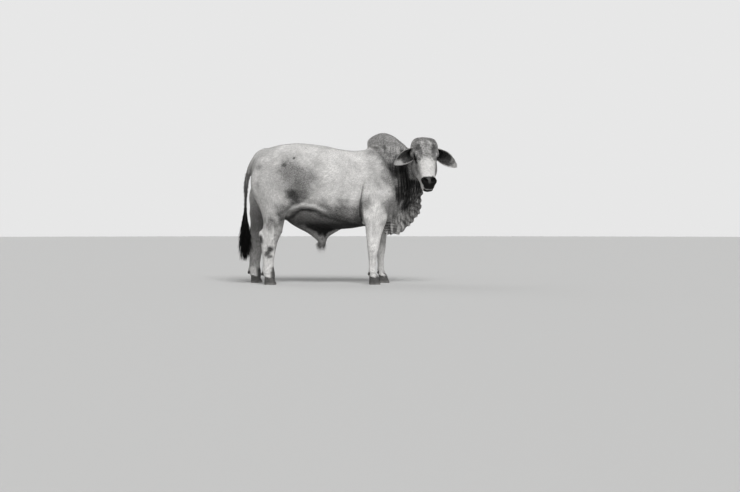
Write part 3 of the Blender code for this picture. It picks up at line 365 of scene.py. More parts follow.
# Widths of the nostril's head and tail, heights of its rim and depth of its hole
NOSTRIL_WIDTHS = (0.0138, 0.0070)
NOSTRIL_RIM = 0.0042
NOSTRIL_DEPTH = 0.026
# The mouth's cut and the lips beside it as depth and half width
MOUTH_CUT = (0.0095, 0.0038)
LIP_SWELL = (0.0045, 0.0075)
# Folds round the eye: radius, half width, depth, painted shade in the fold, where they set in,
# 1 above or -1 below
LID_FOLDS = (
    (0.0285, 0.0022, 0.0034, 0.8, (-0.002, 0.012), 1),
    (0.0275, 0.0020, 0.0022, 0.6, (0.004, 0.014), -1),
    (0.0365, 0.0030, 0.0018, 0.4, (0.004, 0.020), 1),
)
# Lid margins: points round the opening, points round the margin, its radius and what the upper adds
LID_RING = (64, 12)
LID_EDGE = (0.0026, 0.0006)
# The wing of the nostril as middle and half sizes, and how far the lips draw in by depth below the face
NOSTRIL_WING = ((0.505, 0.066, -0.022), (0.034, 0.026, 0.022))
LIP_SQUEEZE = ((0.030, 0.050, 0.070, 0.090, 0.110), (0.0, 0.12, 0.08, -0.04, -0.08))

# Patches of grey on both flanks: middle, half sizes, linear brightness, strength
CLOUDS = (
    ((-0.22, 0.27, 1.07), (0.27, 0.22, 0.27), 0.21, 0.75),
    ((-0.30, 0.27, 1.17), (0.12, 0.20, 0.12), 0.16, 0.45),
    ((-0.14, 0.27, 1.00), (0.12, 0.20, 0.16), 0.17, 0.45),
    ((-0.225, 0.27, 0.960), (0.120, 0.20, 0.110), 0.170, 0.60),
    ((-0.236, 0.27, 0.888), (0.135, 0.20, 0.105), 0.042, 0.94),
    ((-0.52, 0.20, 1.05), (0.16, 0.20, 0.22), 0.38, 0.50),
    # Painted shade on the rounding of the lower thigh
    ((-0.482, 0.20, 0.655), (0.060, 0.18, 0.105), 0.11, 0.85),
    ((-0.42, 0.20, 0.80), (0.080, 0.18, 0.10), 0.30, 0.50),
    ((0.62, 0.22, 1.05), (0.16, 0.20, 0.30), 0.46, 0.60),
    ((0.730, 0.18, 1.070), (0.080, 0.20, 0.170), 0.24, 0.80),
    # Painted light on the upper foreleg, where its surface turns downward
    ((0.57, 0.20, 0.70), (0.13, 0.14, 0.20), 0.90, 0.85),
    ((0.56, 0.18, 0.42), (0.10, 0.12, 0.28), 0.70, 0.70),
    ((0.46, 0.25, 0.85), (0.05, 0.20, 0.20), 0.40, 0.20),
)
# Marks of the right flank only
RIGHT_CLOUDS = (
    ((-0.237, -0.27, 1.287), (0.020, 0.080, 0.013), 0.05, 0.95),
    ((0.170, -0.31, 0.755), (0.013, 0.080, 0.010), 0.05, 0.90),
    ((-0.349, -0.26, 1.205), (0.028, 0.080, 0.026), 0.09, 0.75),
    ((0.700, -0.20, 0.930), (0.022, 0.080, 0.016), 0.10, 0.75),
    ((-0.600, -0.17, 1.190), (0.045, 0.100, 0.030), 0.27, 0.60),
    ((-0.560, -0.19, 1.100), (0.040, 0.100, 0.030), 0.27, 0.50),
    ((-0.590, -0.22, 0.450), (0.032, 0.140, 0.050), 0.06, 0.95),
    ((-0.493, -0.24, 0.365), (0.050, 0.140, 0.046), 0.04, 0.97),
    ((-0.525, -0.24, 0.325), (0.040, 0.140, 0.036), 0.06, 0.92),
    ((-0.500, -0.24, 0.285), (0.032, 0.140, 0.024), 0.09, 0.85),
    ((-0.505, -0.24, 0.590), (0.030, 0.110, 0.060), 0.17, 0.60),
)
# The edge of the flank fold that a painted highlight follows, over the painted shade of the underside:
# place along the body and height
ARCH_X = (-0.50, -0.33, -0.20, -0.13, -0.05, 0.00, 0.10, 0.30, 0.45)
ARCH_Z = (0.60, 0.700, 0.785, 0.795, 0.780, 0.750, 0.715, 0.660, 0.610)
# Furrows of trunk and shoulders on both sides, ridges where the depth is below 0:
# (x, z) path, width, depth, painted shade in the furrow
BODY_LINES = (
    (((0.50, 1.405), (0.57, 1.385), (0.63, 1.345), (0.69, 1.28)), 0.014, 0.017, 0.55),
    (((0.66, 1.30), (0.73, 1.19), (0.775, 1.06), (0.80, 0.90)), 0.018, 0.015, 0.6),
    (((0.468, 1.06), (0.440, 0.94), (0.425, 0.84), (0.430, 0.74), (0.448, 0.62)), 0.010, 0.015, 0.95),
    (((0.424, 0.88), (0.417, 0.79), (0.422, 0.70), (0.440, 0.61), (0.462, 0.53)), 0.012, 0.016, 1.0),
    (((0.520, 0.95), (0.500, 0.87), (0.490, 0.80)), 0.009, 0.005, 0.35),
    (((-0.20, 0.86), (-0.27, 0.79), (-0.33, 0.72)), 0.020, 0.012, 0.3),
    (((-0.60, 1.16), (-0.635, 1.02), (-0.61, 0.88)), 0.026, 0.008, 0.2),
    (((0.52, 1.06), (0.60, 0.98), (0.70, 0.93)), 0.026, 0.006, 0.1),
    (((0.60, 1.33), (0.645, 1.18), (0.69, 1.02)), 0.020, -0.005, 0.0),
    (((-0.36, 0.70), (-0.20, 0.795), (-0.05, 0.785), (0.10, 0.72)), 0.017, -0.010, 0.0),
    (((-0.34, 0.670), (-0.18, 0.758), (-0.04, 0.748), (0.10, 0.690)), 0.013, 0.011, 0.7),
    (((-0.10, 0.70), (-0.04, 0.66), (0.05, 0.63), (0.16, 0.62)), 0.008, 0.0035, 0.4),
    (((-0.16, 0.68), (-0.11, 0.62), (-0.03, 0.58), (0.08, 0.565)), 0.008, 0.0040, 0.4),
)
# Hip, pin bone and point of the shoulder, and the hollow before the hip: place, half sizes, height
BODY_BONES = (
    ((-0.225, 0.235, 1.335), (0.060, 0.050, 0.040), 0.009),
    ((-0.655, 0.105, 1.255), (0.040, 0.040, 0.045), 0.008),
    ((0.775, 0.175, 0.935), (0.050, 0.050, 0.055), 0.008),
    ((-0.380, 0.200, 1.220), (0.030, 0.080, 0.030), -0.005),
)
# Relief of ribs and hide, and spacing and relief of the tail's bones and the wrinkles low down
RIB_SPACING = 0.062
RIB_RELIEF = 0.0012
HIDE_RELIEF = 0.0016
TAIL_BONE = (0.045, 0.0013)
SHEATH_WRINKLE = (0.040, 0.0011)
SCROTUM_WRINKLE = (0.024, 0.0020)
SCROTUM_SEAM = 0.007
# The cleft over the claws as depth and half width, and the swollen band over the coronet
CLEFT = (0.008, 0.008)
CORONET_BAND = (0.002, 0.010)
# Furrows and ridges of the right legs, as above
HIND_LINES = (
    (((-0.528, 0.44), (-0.522, 0.33), (-0.528, 0.17)), 0.007, 0.0065, 0.25),
    (((-0.548, 0.70), (-0.560, 0.62), (-0.572, 0.54)), 0.012, 0.0130, 0.40),
    (((-0.470, 0.66), (-0.480, 0.57), (-0.470, 0.48)), 0.013, 0.0070, 0.25),
    (((-0.600, 0.54), (-0.578, 0.49), (-0.545, 0.45)), 0.011, -0.0060, 0.0),
    (((-0.420, 0.52), (-0.450, 0.485), (-0.490, 0.475)), 0.009, 0.0050, 0.25),
    (((-0.415, 0.49), (-0.445, 0.455), (-0.480, 0.44)), 0.008, 0.0040, 0.20),
    (((-0.360, 0.74), (-0.400, 0.66), (-0.430, 0.58)), 0.018, -0.0070, 0.0),
    (((-0.560, 0.150), (-0.530, 0.135), (-0.490, 0.145)), 0.007, 0.0035, 0.25),
    (((-0.555, 0.118), (-0.520, 0.105), (-0.475, 0.112)), 0.006, 0.0030, 0.25),
)
FORE_LINES = (
    (((0.534, 0.33), (0.530, 0.25), (0.534, 0.15)), 0.007, 0.0065, 0.25),
    (((0.535, 0.66), (0.548, 0.55), (0.540, 0.45)), 0.012, 0.0080, 0.25),
    (((0.625, 0.64), (0.605, 0.54), (0.592, 0.45)), 0.011, 0.0060, 0.20),
    (((0.575, 0.66), (0.585, 0.57), (0.572, 0.48)), 0.013, -0.0050, 0.0),
    (((0.500, 0.415), (0.535, 0.400), (0.580, 0.415)), 0.008, 0.0045, 0.20),
    (((0.505, 0.335), (0.540, 0.325), (0.580, 0.340)), 0.008, 0.0040, 0.20),
    (((0.515, 0.155), (0.540, 0.145), (0.575, 0.155)), 0.006, 0.0030, 0.25),
    (((0.520, 0.118), (0.545, 0.108), (0.590, 0.115)), 0.006, 0.0030, 0.25),
)
# Bones and tendons that stand out on the outer side of the right legs: place, half sizes, height
HIND_BONES = (
    ((-0.520, 0.250, 0.490), (0.030, 0.024, 0.035), 0.007),
    ((-0.470, 0.248, 0.440), (0.028, 0.024, 0.030), 0.005),
    ((-0.490, 0.240, 0.130), (0.030, 0.020, 0.024), 0.004),
    ((-0.380, 0.270, 0.735), (0.045, 0.040, 0.050), 0.007),
)
FORE_BONES = (
    ((0.548, 0.225, 0.370), (0.030, 0.022, 0.038), 0.006),
    ((0.540, 0.205, 0.130), (0.028, 0.020, 0.022), 0.004),
    ((0.560, 0.255, 0.600), (0.040, 0.030, 0.070), 0.006),
)
# The shoulder's front edge, where the dark neck begins: height and place along the body
SHOULDER_EDGE_Z = (0.50, 0.75, 0.90, 1.00, 1.10, 1.20, 1.30, 1.38, 1.45)
SHOULDER_EDGE_X = (0.66, 0.78, 0.80, 0.79, 0.76, 0.72, 0.65, 0.58, 0.50)

# Brightness of the neck and dewlap by height, and the line of its darkest pleats
NECK_DARK = ((0.50, 0.60, 0.70, 0.80, 0.92, 1.10, 1.18, 1.26, 1.34, 1.42),
             (0.36, 0.33, 0.29, 0.21, 0.080, 0.045, 0.065, 0.13, 0.26, 0.34))
NECK_CORE = ((0.850, 1.300), (0.880, 1.150), (0.895, 1.000), (0.880, 0.880), (0.850, 0.780))
# The underline of belly and sheath: place along the body and height
UNDERLINE = ((-0.37, -0.33, -0.24, -0.145, -0.075, -0.03, 0.00,
              0.056, 0.070, 0.092, 0.17, 0.24, 0.45),
             (0.69, 0.63, 0.575, 0.530, 0.480, 0.440, 0.405,
              0.405, 0.440, 0.480, 0.530, 0.560, 0.58))

# Painted shade low on the trunk, of the belly and inside the hind legs, and the tail's own greys, all by
# height
TRUNK_PAINTED_SHADE = ((0.56, 0.70, 0.82, 0.92), (0.015, 0.10, 0.34, 0.55))
BELLY_PAINTED_SHADE = ((0.56, 0.61, 0.67, 0.74), (0.010, 0.022, 0.160, 0.260))
INNER_LEG_PAINTED_SHADE = ((0.10, 0.30, 0.60, 0.90), (0.36, 0.26, 0.16, 0.22))
TAIL_SHADE = ((0.74, 0.84, 0.95, 1.20), (0.02, 0.07, 0.12, 0.19))
# How far the tail's own tone shows, by height
TAIL_SHARE = ((1.00, 1.20, 1.32), (1.0, 0.8, 0.0))
# Height and brightness of the sheath's band, by place along the body
SHEATH_BAND = ((-0.30, -0.10, 0.03, 0.09, 0.20), (0.055, 0.080, 0.120, 0.060, 0.020))
SHEATH_SHADE = ((-0.35, -0.15, 0.0), (0.07, 0.15, 0.27))
# Brightness of the face by place along it
FACE_SHADE = ((0.00, 0.10, 0.22, 0.30, 0.40, 0.46), (0.30, 0.30, 0.33, 0.60, 0.64, 0.60))

# Patches of grey on both sides of the face, in face coordinates
FACE_CLOUDS = (
    ((0.150, 0.085, 0.000), (0.095, 0.044, 0.070), 0.110, 0.80),
    ((0.130, 0.076, 0.005), (0.060, 0.028, 0.050), 0.055, 0.75),
    ((0.050, 0.080, 0.000), (0.050, 0.040, 0.050), 0.160, 0.60),
    ((0.205, 0.060, 0.010), (0.070, 0.024, 0.050), 0.085, 0.75),
    ((0.266, 0.074, -0.010), (0.026, 0.020, 0.030), 0.035, 0.85),
    ((0.085, 0.000, 0.010), (0.060, 0.020, 0.050), 0.150, 0.70),
    ((0.215, 0.000, 0.010), (0.055, 0.040, 0.050), 0.210, 0.70),
    ((0.080, 0.043, 0.010), (0.050, 0.014, 0.040), 0.420, 0.65),
    ((0.145, 0.140, -0.050), (0.055, 0.024, 0.040), 0.560, 0.80),
    ((0.205, 0.112, -0.006), (0.050, 0.016, 0.024), 0.620, 0.90),
    # Painted shade in the hollow round the eye, and below it the tear streak, darkened further as painted
    # shade
    ((0.232, 0.112, -0.040), (0.058, 0.044, 0.046), 0.007, 1.00),
    ((0.290, 0.104, -0.058), (0.060, 0.024, 0.034), 0.008, 1.00),
    ((0.312, 0.100, -0.092), (0.050, 0.022, 0.034), 0.020, 0.80),
    ((0.380, 0.000, 0.000), (0.105, 0.062, 0.060), 0.660, 0.85),
    ((0.330, 0.080, -0.030), (0.090, 0.022, 0.040), 0.360, 0.60),
    # Painted shade on the side of the cheek
    ((0.350, 0.108, -0.120), (0.110, 0.040, 0.070), 0.190, 0.80),
    ((0.395, 0.084, -0.090), (0.060, 0.030, 0.040), 0.300, 0.55),
    ((0.180, 0.120, -0.170), (0.100, 0.060, 0.080), 0.200, 0.60),
)

# The dark pad of the nose: its upper edge by place across, its half width by depth below the face
PAD_TOP = ((0.0, 0.018, 0.045, 0.062), (0.484, 0.478, 0.466, 0.476))
PAD_SIDE = ((0.024, 0.040, 0.052, 0.074, 0.088, 0.130), (0.090, 0.060, 0.050, 0.043, 0.046, 0.044))

# Turns of the drawn-out noise that runs along the trunk and down the limbs
ALONG_TRUNK = (0.0, math.radians(160), 0.0)
UPRIGHT = (0.0, math.radians(90), 0.0)

# The camera of the main view, and the reach of floor and backdrop
CAMERA_PLACE = (0.241, -10.316, 0.5745)
CAMERA_LENS = 48.87
CAMERA_SHIFT = -18 / 740
STAGE_RADIUS = 60.0
WHITE = (1.0, 1.0, 1.0, 1.0)
FLOOR_GREY = (0.56, 0.56, 0.555, 1.0)
BACKDROP_LIGHT = 0.80
ROOM_LIGHT = 0.34
# Lamps: the way the light goes, power, breadth in degrees
KEY_LIGHT = ((-0.30, 1.00, -1.10), 2.5, 30)
BACK_LIGHT = ((0.9, -0.7, -0.9), 0.45, 40)


def put(name, data, into):
    """A new object in a collection."""
    made = bpy.data.objects.new(name, data)
    into.objects.link(made)
    return made


def mesh_of(name, shape):
    """A mesh from a finished bmesh."""
    mesh = bpy.data.meshes.new(name)
    shape.to_mesh(mesh)
    shape.free()
    return mesh


def mesh_object(name, points, faces, into):
    """A mesh object with its faces pointing out."""
    mesh = bpy.data.meshes.new(name)
    mesh.from_pydata([tuple(p) for p in points], [], faces)
    shape = bmesh.new()
    shape.from_mesh(mesh)
    bmesh.ops.recalc_face_normals(shape, faces=shape.faces)
    shape.to_mesh(mesh)
    shape.free()
    return put(name, mesh, into)


def resample(stations, steps):
    """The stations with smooth ones between them, on a Catmull-Rom curve."""
    rows = np.array(stations, dtype=float)
    ends = np.vstack([2 * rows[0] - rows[1], rows, 2 * rows[-1] - rows[-2]])
    out = []
    for i in range(len(rows) - 1):
        a, b, c, d = ends[i:i + 4]
        for k in range(steps):
            t = k / steps
            curve = 2 * b + (c - a) * t
            curve = curve + (2 * a - 5 * b + 4 * c - d) * t ** 2
            curve = curve + (3 * b - a - 3 * c + d) * t ** 3
            out.append(curve / 2)
    out.append(rows[-1])
    return out


def between(table, at):
    """A value read off a table of rising (place, value) pairs."""
    places = [row[0] for row in table]
    values = [row[1] for row in table]
    return float(np.interp(at, places, values))


def oval(centre, right, up, half, high, low, square, count=RING_POINTS):
    """A ring of points on a superellipse with unlike upper and lower halves."""
    ring = []
    for i in range(count):
        a = 2 * math.pi * (i + 0.5) / count
        across = math.copysign(abs(math.cos(a)) ** (2 / square), math.cos(a)) * half
        rise = abs(math.sin(a)) ** (2 / square)
        rise = rise * high if math.sin(a) > 0 else -rise * low
        ring.append(centre + right * across + up * rise)
    return ring


def loft(rings):
    """A closed form through rings of equal count, as points and faces."""
    count = len(rings[0])
    points = [p for ring in rings for p in ring]
    faces = []
    for i in range(len(rings) - 1):
        for j in range(count):
            a = i * count + j
            b = i * count + (j + 1) % count
            faces.append((a, b, b + count, a + count))
    faces.append(tuple(range(count)))
    faces.append(tuple(range(len(points) - count, len(points))))
    return points, faces


def ball(centre, radii, lean=0, place=None, detail=(24, 14)):
    """An ellipsoid as points and faces; lean is its turn about y in degrees."""
    turn = Matrix.Rotation(math.radians(lean), 4, "Y")
    where = Matrix.Translation(centre) @ turn @ Matrix.Diagonal((*radii, 1.0))
    if place is not None:
        where = place @ where
    shape = bmesh.new()
    bmesh.ops.create_uvsphere(shape, u_segments=detail[0], v_segments=detail[1], radius=1.0,
                              matrix=where)
    points = [v.co.copy() for v in shape.verts]
    faces = [tuple(v.index for v in f.verts) for f in shape.faces]
    shape.free()
    return points, faces


def with_left(form, step):
    """A right leg's form and its twin on the left, moved along x by a table of heights."""
    points, faces = form
    twin = [Vector((p[0] + between(step, p[2]), -p[1], p[2])) for p in points]
    return [form, (twin, faces)]


def joined(forms):
    """Several forms in one list of points and one of faces."""
    points, faces = [], []
    for form_points, form_faces in forms:
        start = len(points)
        points.extend(form_points)
        faces.extend(tuple(i + start for i in f) for f in form_faces)
    return points, faces


def head_frame():
    """The matrix from face coordinates to the body's frame."""
    ahead = Vector((math.cos(HEAD_TURN), math.sin(HEAD_TURN), 0))
    down = math.sin(HEAD_PITCH) * ahead - math.cos(HEAD_PITCH) * Vector((0, 0, 1))
    out = math.cos(HEAD_PITCH) * ahead + math.sin(HEAD_PITCH) * Vector((0, 0, 1))
    side = Vector((-math.sin(HEAD_TURN), math.cos(HEAD_TURN), 0))
    frame = Matrix((down, side, out)).transposed() @ Matrix.Rotation(HEAD_ROLL, 3, "Z")
    frame = frame.to_4x4()
    return Matrix.Translation(POLL) @ frame @ Matrix.Scale(HEAD_SCALE, 4)


HEAD = head_frame()
SIDES = (("right", -1), ("left", 1))


def upright_loft(stations):
    """A form through sections that stand across the spine."""
    rings = []
    for x, top, bottom, half, share, square in resample(stations, 3):
        middle = bottom + share * (top - bottom)
        centre = Vector((x, 0, middle))
        rings.append(oval(centre, Vector((0, 1, 0)), Vector((0, 0, 1)), half,
                          top - middle, middle - bottom, square))
    return loft(rings)


def level_loft(stations, square):
    """A form through level sections, such as a leg."""
    rings = []
    for z, rear, front, middle, half in resample(stations, 3):
        centre = Vector(((rear + front) / 2, middle, z))
        rings.append(oval(centre, Vector((1, 0, 0)), Vector((0, 1, 0)), (front - rear) / 2,
                          half, half, square))
    return loft(rings)


def neck_loft():
    """The neck, bent round to the bull's right."""
    rings = []
    for x, y, heading, top, bottom, half in resample(NECK, 4):
        turn = math.radians(heading)
        right = Vector((-math.sin(turn), math.cos(turn), 0))
        centre = Vector((x, y, (top + bottom) / 2))
        rise = (top - bottom) / 2
        rings.append(oval(centre, right, Vector((0, 0, 1)), half, rise, rise, 2.0))
    return loft(rings)


def dewlap_loft():
    """The thin hanging fold of the throat and brisket, swayed from side to side."""
    points, faces = level_loft(DEWLAP, 2.0)
    swayed = []
    for p in points:
        low = min(1.0, max(0.0, (1.10 - p[2]) / 0.30))
        lie = (p[0] * 0.90 + p[2] * 0.35) / DEWLAP_FOLD
        sway = DEWLAP_SWAY * low * math.sin(2 * math.pi * lie)
        swayed.append(Vector((p[0], p[1] + sway, p[2])))
    return swayed, faces


def face_loft(stations, square):
    """A form through sections across the face."""
    axes = HEAD.to_3x3()
    rings = []
    for u, top, bottom, half in resample(stations, 4):
        middle = (top + bottom) / 2
        rise = (top - bottom) / 2
        rings.append(oval(HEAD @ Vector((u, 0, middle)), axes @ Vector((0, 1, 0)),
                          axes @ Vector((0, 0, 1)), half, rise, rise, square))
    return loft(rings)


def tail_loft():
    """The tail's flesh, a tapering tube."""
    rows = resample(TAIL, 4)
    rings = []
    for i, (x, z, radius) in enumerate(rows):
        before = rows[max(i - 1, 0)]
        after = rows[min(i + 1, len(rows) - 1)]
        along = Vector((after[0] - before[0], 0, after[1] - before[1])).normalized()
        across = Vector((-along.z, 0, along.x))
        sink = between(((-0.77, TAIL_Y), (-0.60, 0.0)), x)
        rings.append(oval(Vector((x, sink, z)), across, Vector((0, 1, 0)), radius,
                          radius, radius, 2.0, 18))
    return loft(rings)


def core_forms():
    """The great masses that blend softly: trunk, hump, neck, shoulders and thighs."""
    forms = [upright_loft(TRUNK), upright_loft(HUMP), neck_loft()]
    forms += with_left(level_loft(HIND_LEG[:9], LEG_SQUARE), HIND_STEP)
    forms += with_left(level_loft(FORE_LEG[:6], LEG_SQUARE), FORE_STEP)
    for side in (-1, 1):
        forms += [ball(to_side(middle, side), radii, lean) for middle, radii, lean in MUSCLES]
    return forms


def limb_forms():
    """The slender forms: lower legs, tail, dewlap, sheath and scrotum."""
    forms = with_left(level_loft(HIND_LEG[5:], LEG_SQUARE), HIND_STEP)
    forms += with_left(level_loft(FORE_LEG[2:], LEG_SQUARE), FORE_STEP)
    forms += [tail_loft(), dewlap_loft(), level_loft(SHEATH, 2.0)]
    middle, radii = SCROTUM_HALF
    forms += [ball(to_side(middle, side), radii) for side in (-1, 1)]
    forms += [ball(*SCROTUM_NECK), ball(*SCROTUM_ROOT)]
    for side in (-1, 1):
        step = between(HIND_STEP, HOCK_POINT.z) if side > 0 else 0.0
        forms.append(ball(to_side(HOCK_POINT, side) + Vector((step, 0, 0)), HOCK_SIZE))
    return forms


def head_forms():
    """Skull, jaw, cheeks, brows, muzzle pads and the roots of the ears, in place."""
    forms = [face_loft(SKULL, SKULL_SQUARE), face_loft(JAW, JAW_SQUARE)]
    for side in (-1, 1):
        forms += [ball(to_side(middle, side), radii, place=HEAD) for middle, radii in HEAD_PADS]
    forms.append(ball(*POLL_PAD, place=HEAD))
    return forms


def fuse(name, forms, voxel, into):
    """One closed skin round overlapping forms."""
    points, faces = joined(forms)
    piece = mesh_object(name, points, faces, into)
    step = piece.modifiers.new("Fuse", "REMESH")
    step.mode = "VOXEL"
    step.voxel_size = voxel
    return apply_modifiers(piece)


def gather(items, name, width, kind=np.float32):
    """One property of all items of a mesh as an array with a row an item."""
    values = np.empty(len(items) * width, dtype=kind)
    items.foreach_get(name, values)
    return values.reshape(-1, width)


def read_points(piece):
    """An object's points as an array."""
    return gather(piece.data.vertices, "co", 3).astype(float)


def write_points(piece, points):
    """Puts an array back as an object's points."""
    piece.data.vertices.foreach_set("co", points.astype(np.float32).ravel())
    piece.data.update()


def read_normals(piece):
    """The normals at an object's points."""
    return gather(piece.data.vertex_normals, "vector", 3).astype(float)


def relax(piece, rounds, weight=None):
    """Draws each point towards the mean of its neighbours, where weight says so."""
    points = read_points(piece)
    a, b = gather(piece.data.edges, "vertices", 2, np.int32).T
    count = len(points)
    degree = np.bincount(a, minlength=count) + np.bincount(b, minlength=count)
    share = 0.5 if weight is None else 0.5 * weight(points)[:, None]
    for _ in range(rounds):
        total = np.empty_like(points)
        for k in range(3):
            total[:, k] = np.bincount(a, points[b, k], count) + np.bincount(b, points[a, k], count)
        points = points + share * (total / degree[:, None] - points)
    write_points(piece, points)


def soft_step(value, low, high):
    """0 below low, 1 above high, smooth between."""
    t = np.clip((value - low) / (high - low), 0.0, 1.0)
    return t * t * (3 - 2 * t)


def unit(arrows, least=0.0):
    """Arrows of length 1; least keeps those without a length from failing."""
    return arrows / (np.linalg.norm(arrows, axis=-1, keepdims=True) + least)


def folded(points):
    """The points with the right side folded onto the left."""
    out = points.copy()
    out[:, 1] = np.abs(out[:, 1])
    return out


def fade(value, low, high):
    """1 below low, 0 above high, smooth between."""
    return 1 - soft_step(value, low, high)


def near_line(points, path):
    """How far each point lies from a line of points, and how far along it the nearest place is."""
    best = np.full(len(points), 1e9)
    along = np.zeros(len(points))
    path = np.array(path, dtype=float)
    for i in range(len(path) - 1):
        step = path[i + 1] - path[i]
        t = np.clip(((points - path[i]) @ step) / (step @ step), 0.0, 1.0)
        away = np.linalg.norm(points - path[i] - t[:, None] * step, axis=1)
        closer = away < best
        best[closer] = away[closer]
        along[closer] = (i + t[closer]) / (len(path) - 1)
    return best, along


def to_side(point, side):
    """A point of the left side, or its mirror image where side is -1."""
    return Vector((point[0], side * point[1], point[2]))


def eye_frame(side):
    """The matrix of one eye: x along the slit, y up from it, z along the gaze, unscaled."""
    axes = HEAD.to_3x3().normalized()
    gaze = (axes @ to_side(EYE_GAZE, side)).normalized()
    slit = axes @ Vector((1.0, side * -0.12, 0.10))
    slit = (slit - gaze * slit.dot(gaze)).normalized()
    lift = gaze.cross(slit)
    frame = Matrix((slit, lift, gaze)).transposed().to_4x4()
    return Matrix.Translation(HEAD @ to_side(EYE, side)) @ frame


def foot_places():
    """Every foot: name, x of its claws, y of its middle, x of its fetlock's rear."""
    places = []
    for side_name, side in SIDES:
        for leg, step, claw_x, y, rear in FEET:
            shift = between(step, 0.05) if side > 0 else 0.0
            places.append((leg + side_name, claw_x + shift, side * y, rear + shift))
    return places


def by_tail(points, front):
    """Which points lie on the hanging tail, behind the given place."""
    return (np.abs(points[:, 1] - TAIL_Y) < 0.06) & (points[:, 0] < front)


def by_foot(points, x, y, reach=0.11):
    """Which points lie about the foot at x and y, and how high its coronet is there."""
    ahead = points[:, 0] - x
    here = (np.abs(ahead) < reach) & (np.abs(points[:, 1] - y) < 0.10)
    return here, CORONET - CORONET_SLOPE * ahead


def apply_modifiers(piece):
    """Swaps an object's mesh for its evaluated one."""
    bpy.context.view_layer.update()
    seen = piece.evaluated_get(bpy.context.evaluated_depsgraph_get())
    mesh = bpy.data.meshes.new_from_object(seen)
    piece.modifiers.clear()
    piece.data = mesh
    return piece


def place_in(matrix, points):
    """Points in the coordinates of a matrix's own frame."""
    inside = np.array(matrix.inverted())
    return points @ inside[:3, :3].T + inside[:3, 3]


def place_out(matrix, points):
    """Points given in a matrix's own frame, in the body's frame."""
    outside = np.array(matrix)
    return points @ outside[:3, :3].T + outside[:3, 3]


def wander(points, size, seed):
    """A smooth random field between about -1 and 1 that changes over the given size."""
    rng = np.random.default_rng(seed)
    total = np.zeros(len(points))
    for _ in range(6):
        way = rng.normal(size=3)
        way *= 2 * math.pi * rng.uniform(0.7, 1.4) / (size * np.linalg.norm(way))
        total += np.sin(points @ way + rng.uniform(0, 2 * math.pi))
    return total / 3


def wanders(points, size, seeds):
    """Several random fields side by side, a column a seed."""
    return np.stack([wander(points, size, seed) for seed in seeds], axis=1)


def mix(old, new, weight):
    """The old value where weight is 0 and the new one where it is 1."""
    return old + (new - old) * weight


def hill(away, radius):
    """1 in the middle, falling softly to nothing."""
    return np.exp(-(away / radius) ** 2)


def furrow(away, width):
    """The cross-section of a furrow: 1 in its bed, slightly below 0 on its raised lips."""
    return np.exp(-(away / width) ** 2) - 0.32 * np.exp(-((away - 2.1 * width) / width) ** 2)


def head_share(face):
    """1 on the head, falling to 0 where the neck takes over, from face coordinates."""
    u = face[:, 0]
    w = np.abs(face[:, 1])
    v = face[:, 2]
    half = np.interp(u, *HEAD_REACH[:2])
    low = np.interp(u, *HEAD_REACH[::2])
    inside = soft_step(v, low - 0.030, low + 0.004) * fade(w, half, half + 0.030)
    return inside * soft_step(u, -0.060, -0.020) * (u < 0.70) * (v < 0.20)


class Hide:
    """The points of the skin while it is shaped, with the marks that shaping leaves on it."""

    def __init__(self, piece):
        self.piece = piece
        self.points = read_points(piece)
        self.normals = read_normals(piece)
        # Shade painted into creases, folds, grooves and the mouth's cut, stored as the PaintedShade mark
        self.fold = np.zeros(len(self.points))
        self.bare = np.zeros(len(self.points))
        self.pit = np.zeros(len(self.points))
        self.face = place_in(HEAD, self.points)
        self.on_head = head_share(self.face)

    def sink(self, amount):
        """Moves the points in along their normals."""
        self.points -= self.normals * amount[:, None]

    def keep(self):
        """Writes the points back and reads the new normals."""
        write_points(self.piece, self.points)
        self.normals = read_normals(self.piece)
        self.face = place_in(HEAD, self.points)

    def crease(self, path, width, depth, side, dark=0.5, reach=0.01, limit=1.0):
        """A furrow along an (x, z) path on one flank, with painted shade in it; a negative depth raises a
        ridge.
        """
        rows = np.array(path, dtype=float)
        margin = 4 * width
        low = rows.min(axis=0) - margin
        high = rows.max(axis=0) + margin
        plan = self.points[:, [0, 2]]
        out = self.points[:, 1] * side
        near = np.nonzero(((plan > low) & (plan < high)).all(axis=1) & (out > reach) & (out < limit))[0]
        if not len(near):
            return
        shake = wander(self.points[near], 0.09, len(path) + int(1000 * abs(path[0][0])))
        away, along = near_line(plan[near], path)
        away = np.abs(away + width * 0.35 * shake)
        fade = np.sin(np.pi * np.clip(along, 0.0, 1.0)) ** 0.7
        facing = np.clip(self.normals[near, 1] * side * 1.6, 0.0, 1.0)
        shape = furrow(away, width) * fade * facing * (1 - self.on_head[near])
        self.points[near] -= self.normals[near] * (depth * shape)[:, None]
        if depth > 0:
            self.fold[near] = np.maximum(self.fold[near], dark * np.clip(shape, 0, 1))

    def face_crease(self, path, width, depth, dark=0.5):
        """A furrow with painted shade in it along a path of face coordinates, on both sides of the head.
        """
        near = np.nonzero(self.on_head > 0)[0]
        away, along = near_line(folded(self.face[near]), path)
        fade = np.sin(np.pi * np.clip(along, 0.0, 1.0)) ** 0.6
        shape = furrow(away, width) * fade
        self.points[near] -= self.normals[near] * (depth * shape)[:, None]
        if depth > 0:
            self.fold[near] = np.maximum(self.fold[near], dark * np.clip(shape, 0, 1))

    def face_swell(self, centre, radii, height):
        """A soft rise on both sides of the face, or a hollow where height is below 0."""
        away = np.linalg.norm((folded(self.face) - centre) / radii, axis=1)
        self.sink(-height * np.exp(-away ** 2) * self.on_head)

    def swell(self, centre, radii, height, sides=(-1, 1)):
        """A soft rise on the body, or a hollow where height is below 0."""
        for side in sides:
            spot = np.array(centre) * (1, side, 1)
            away = np.linalg.norm((self.points - spot) / radii, axis=1)
            self.sink(-height * np.exp(-away ** 2) * (1 - self.on_head))


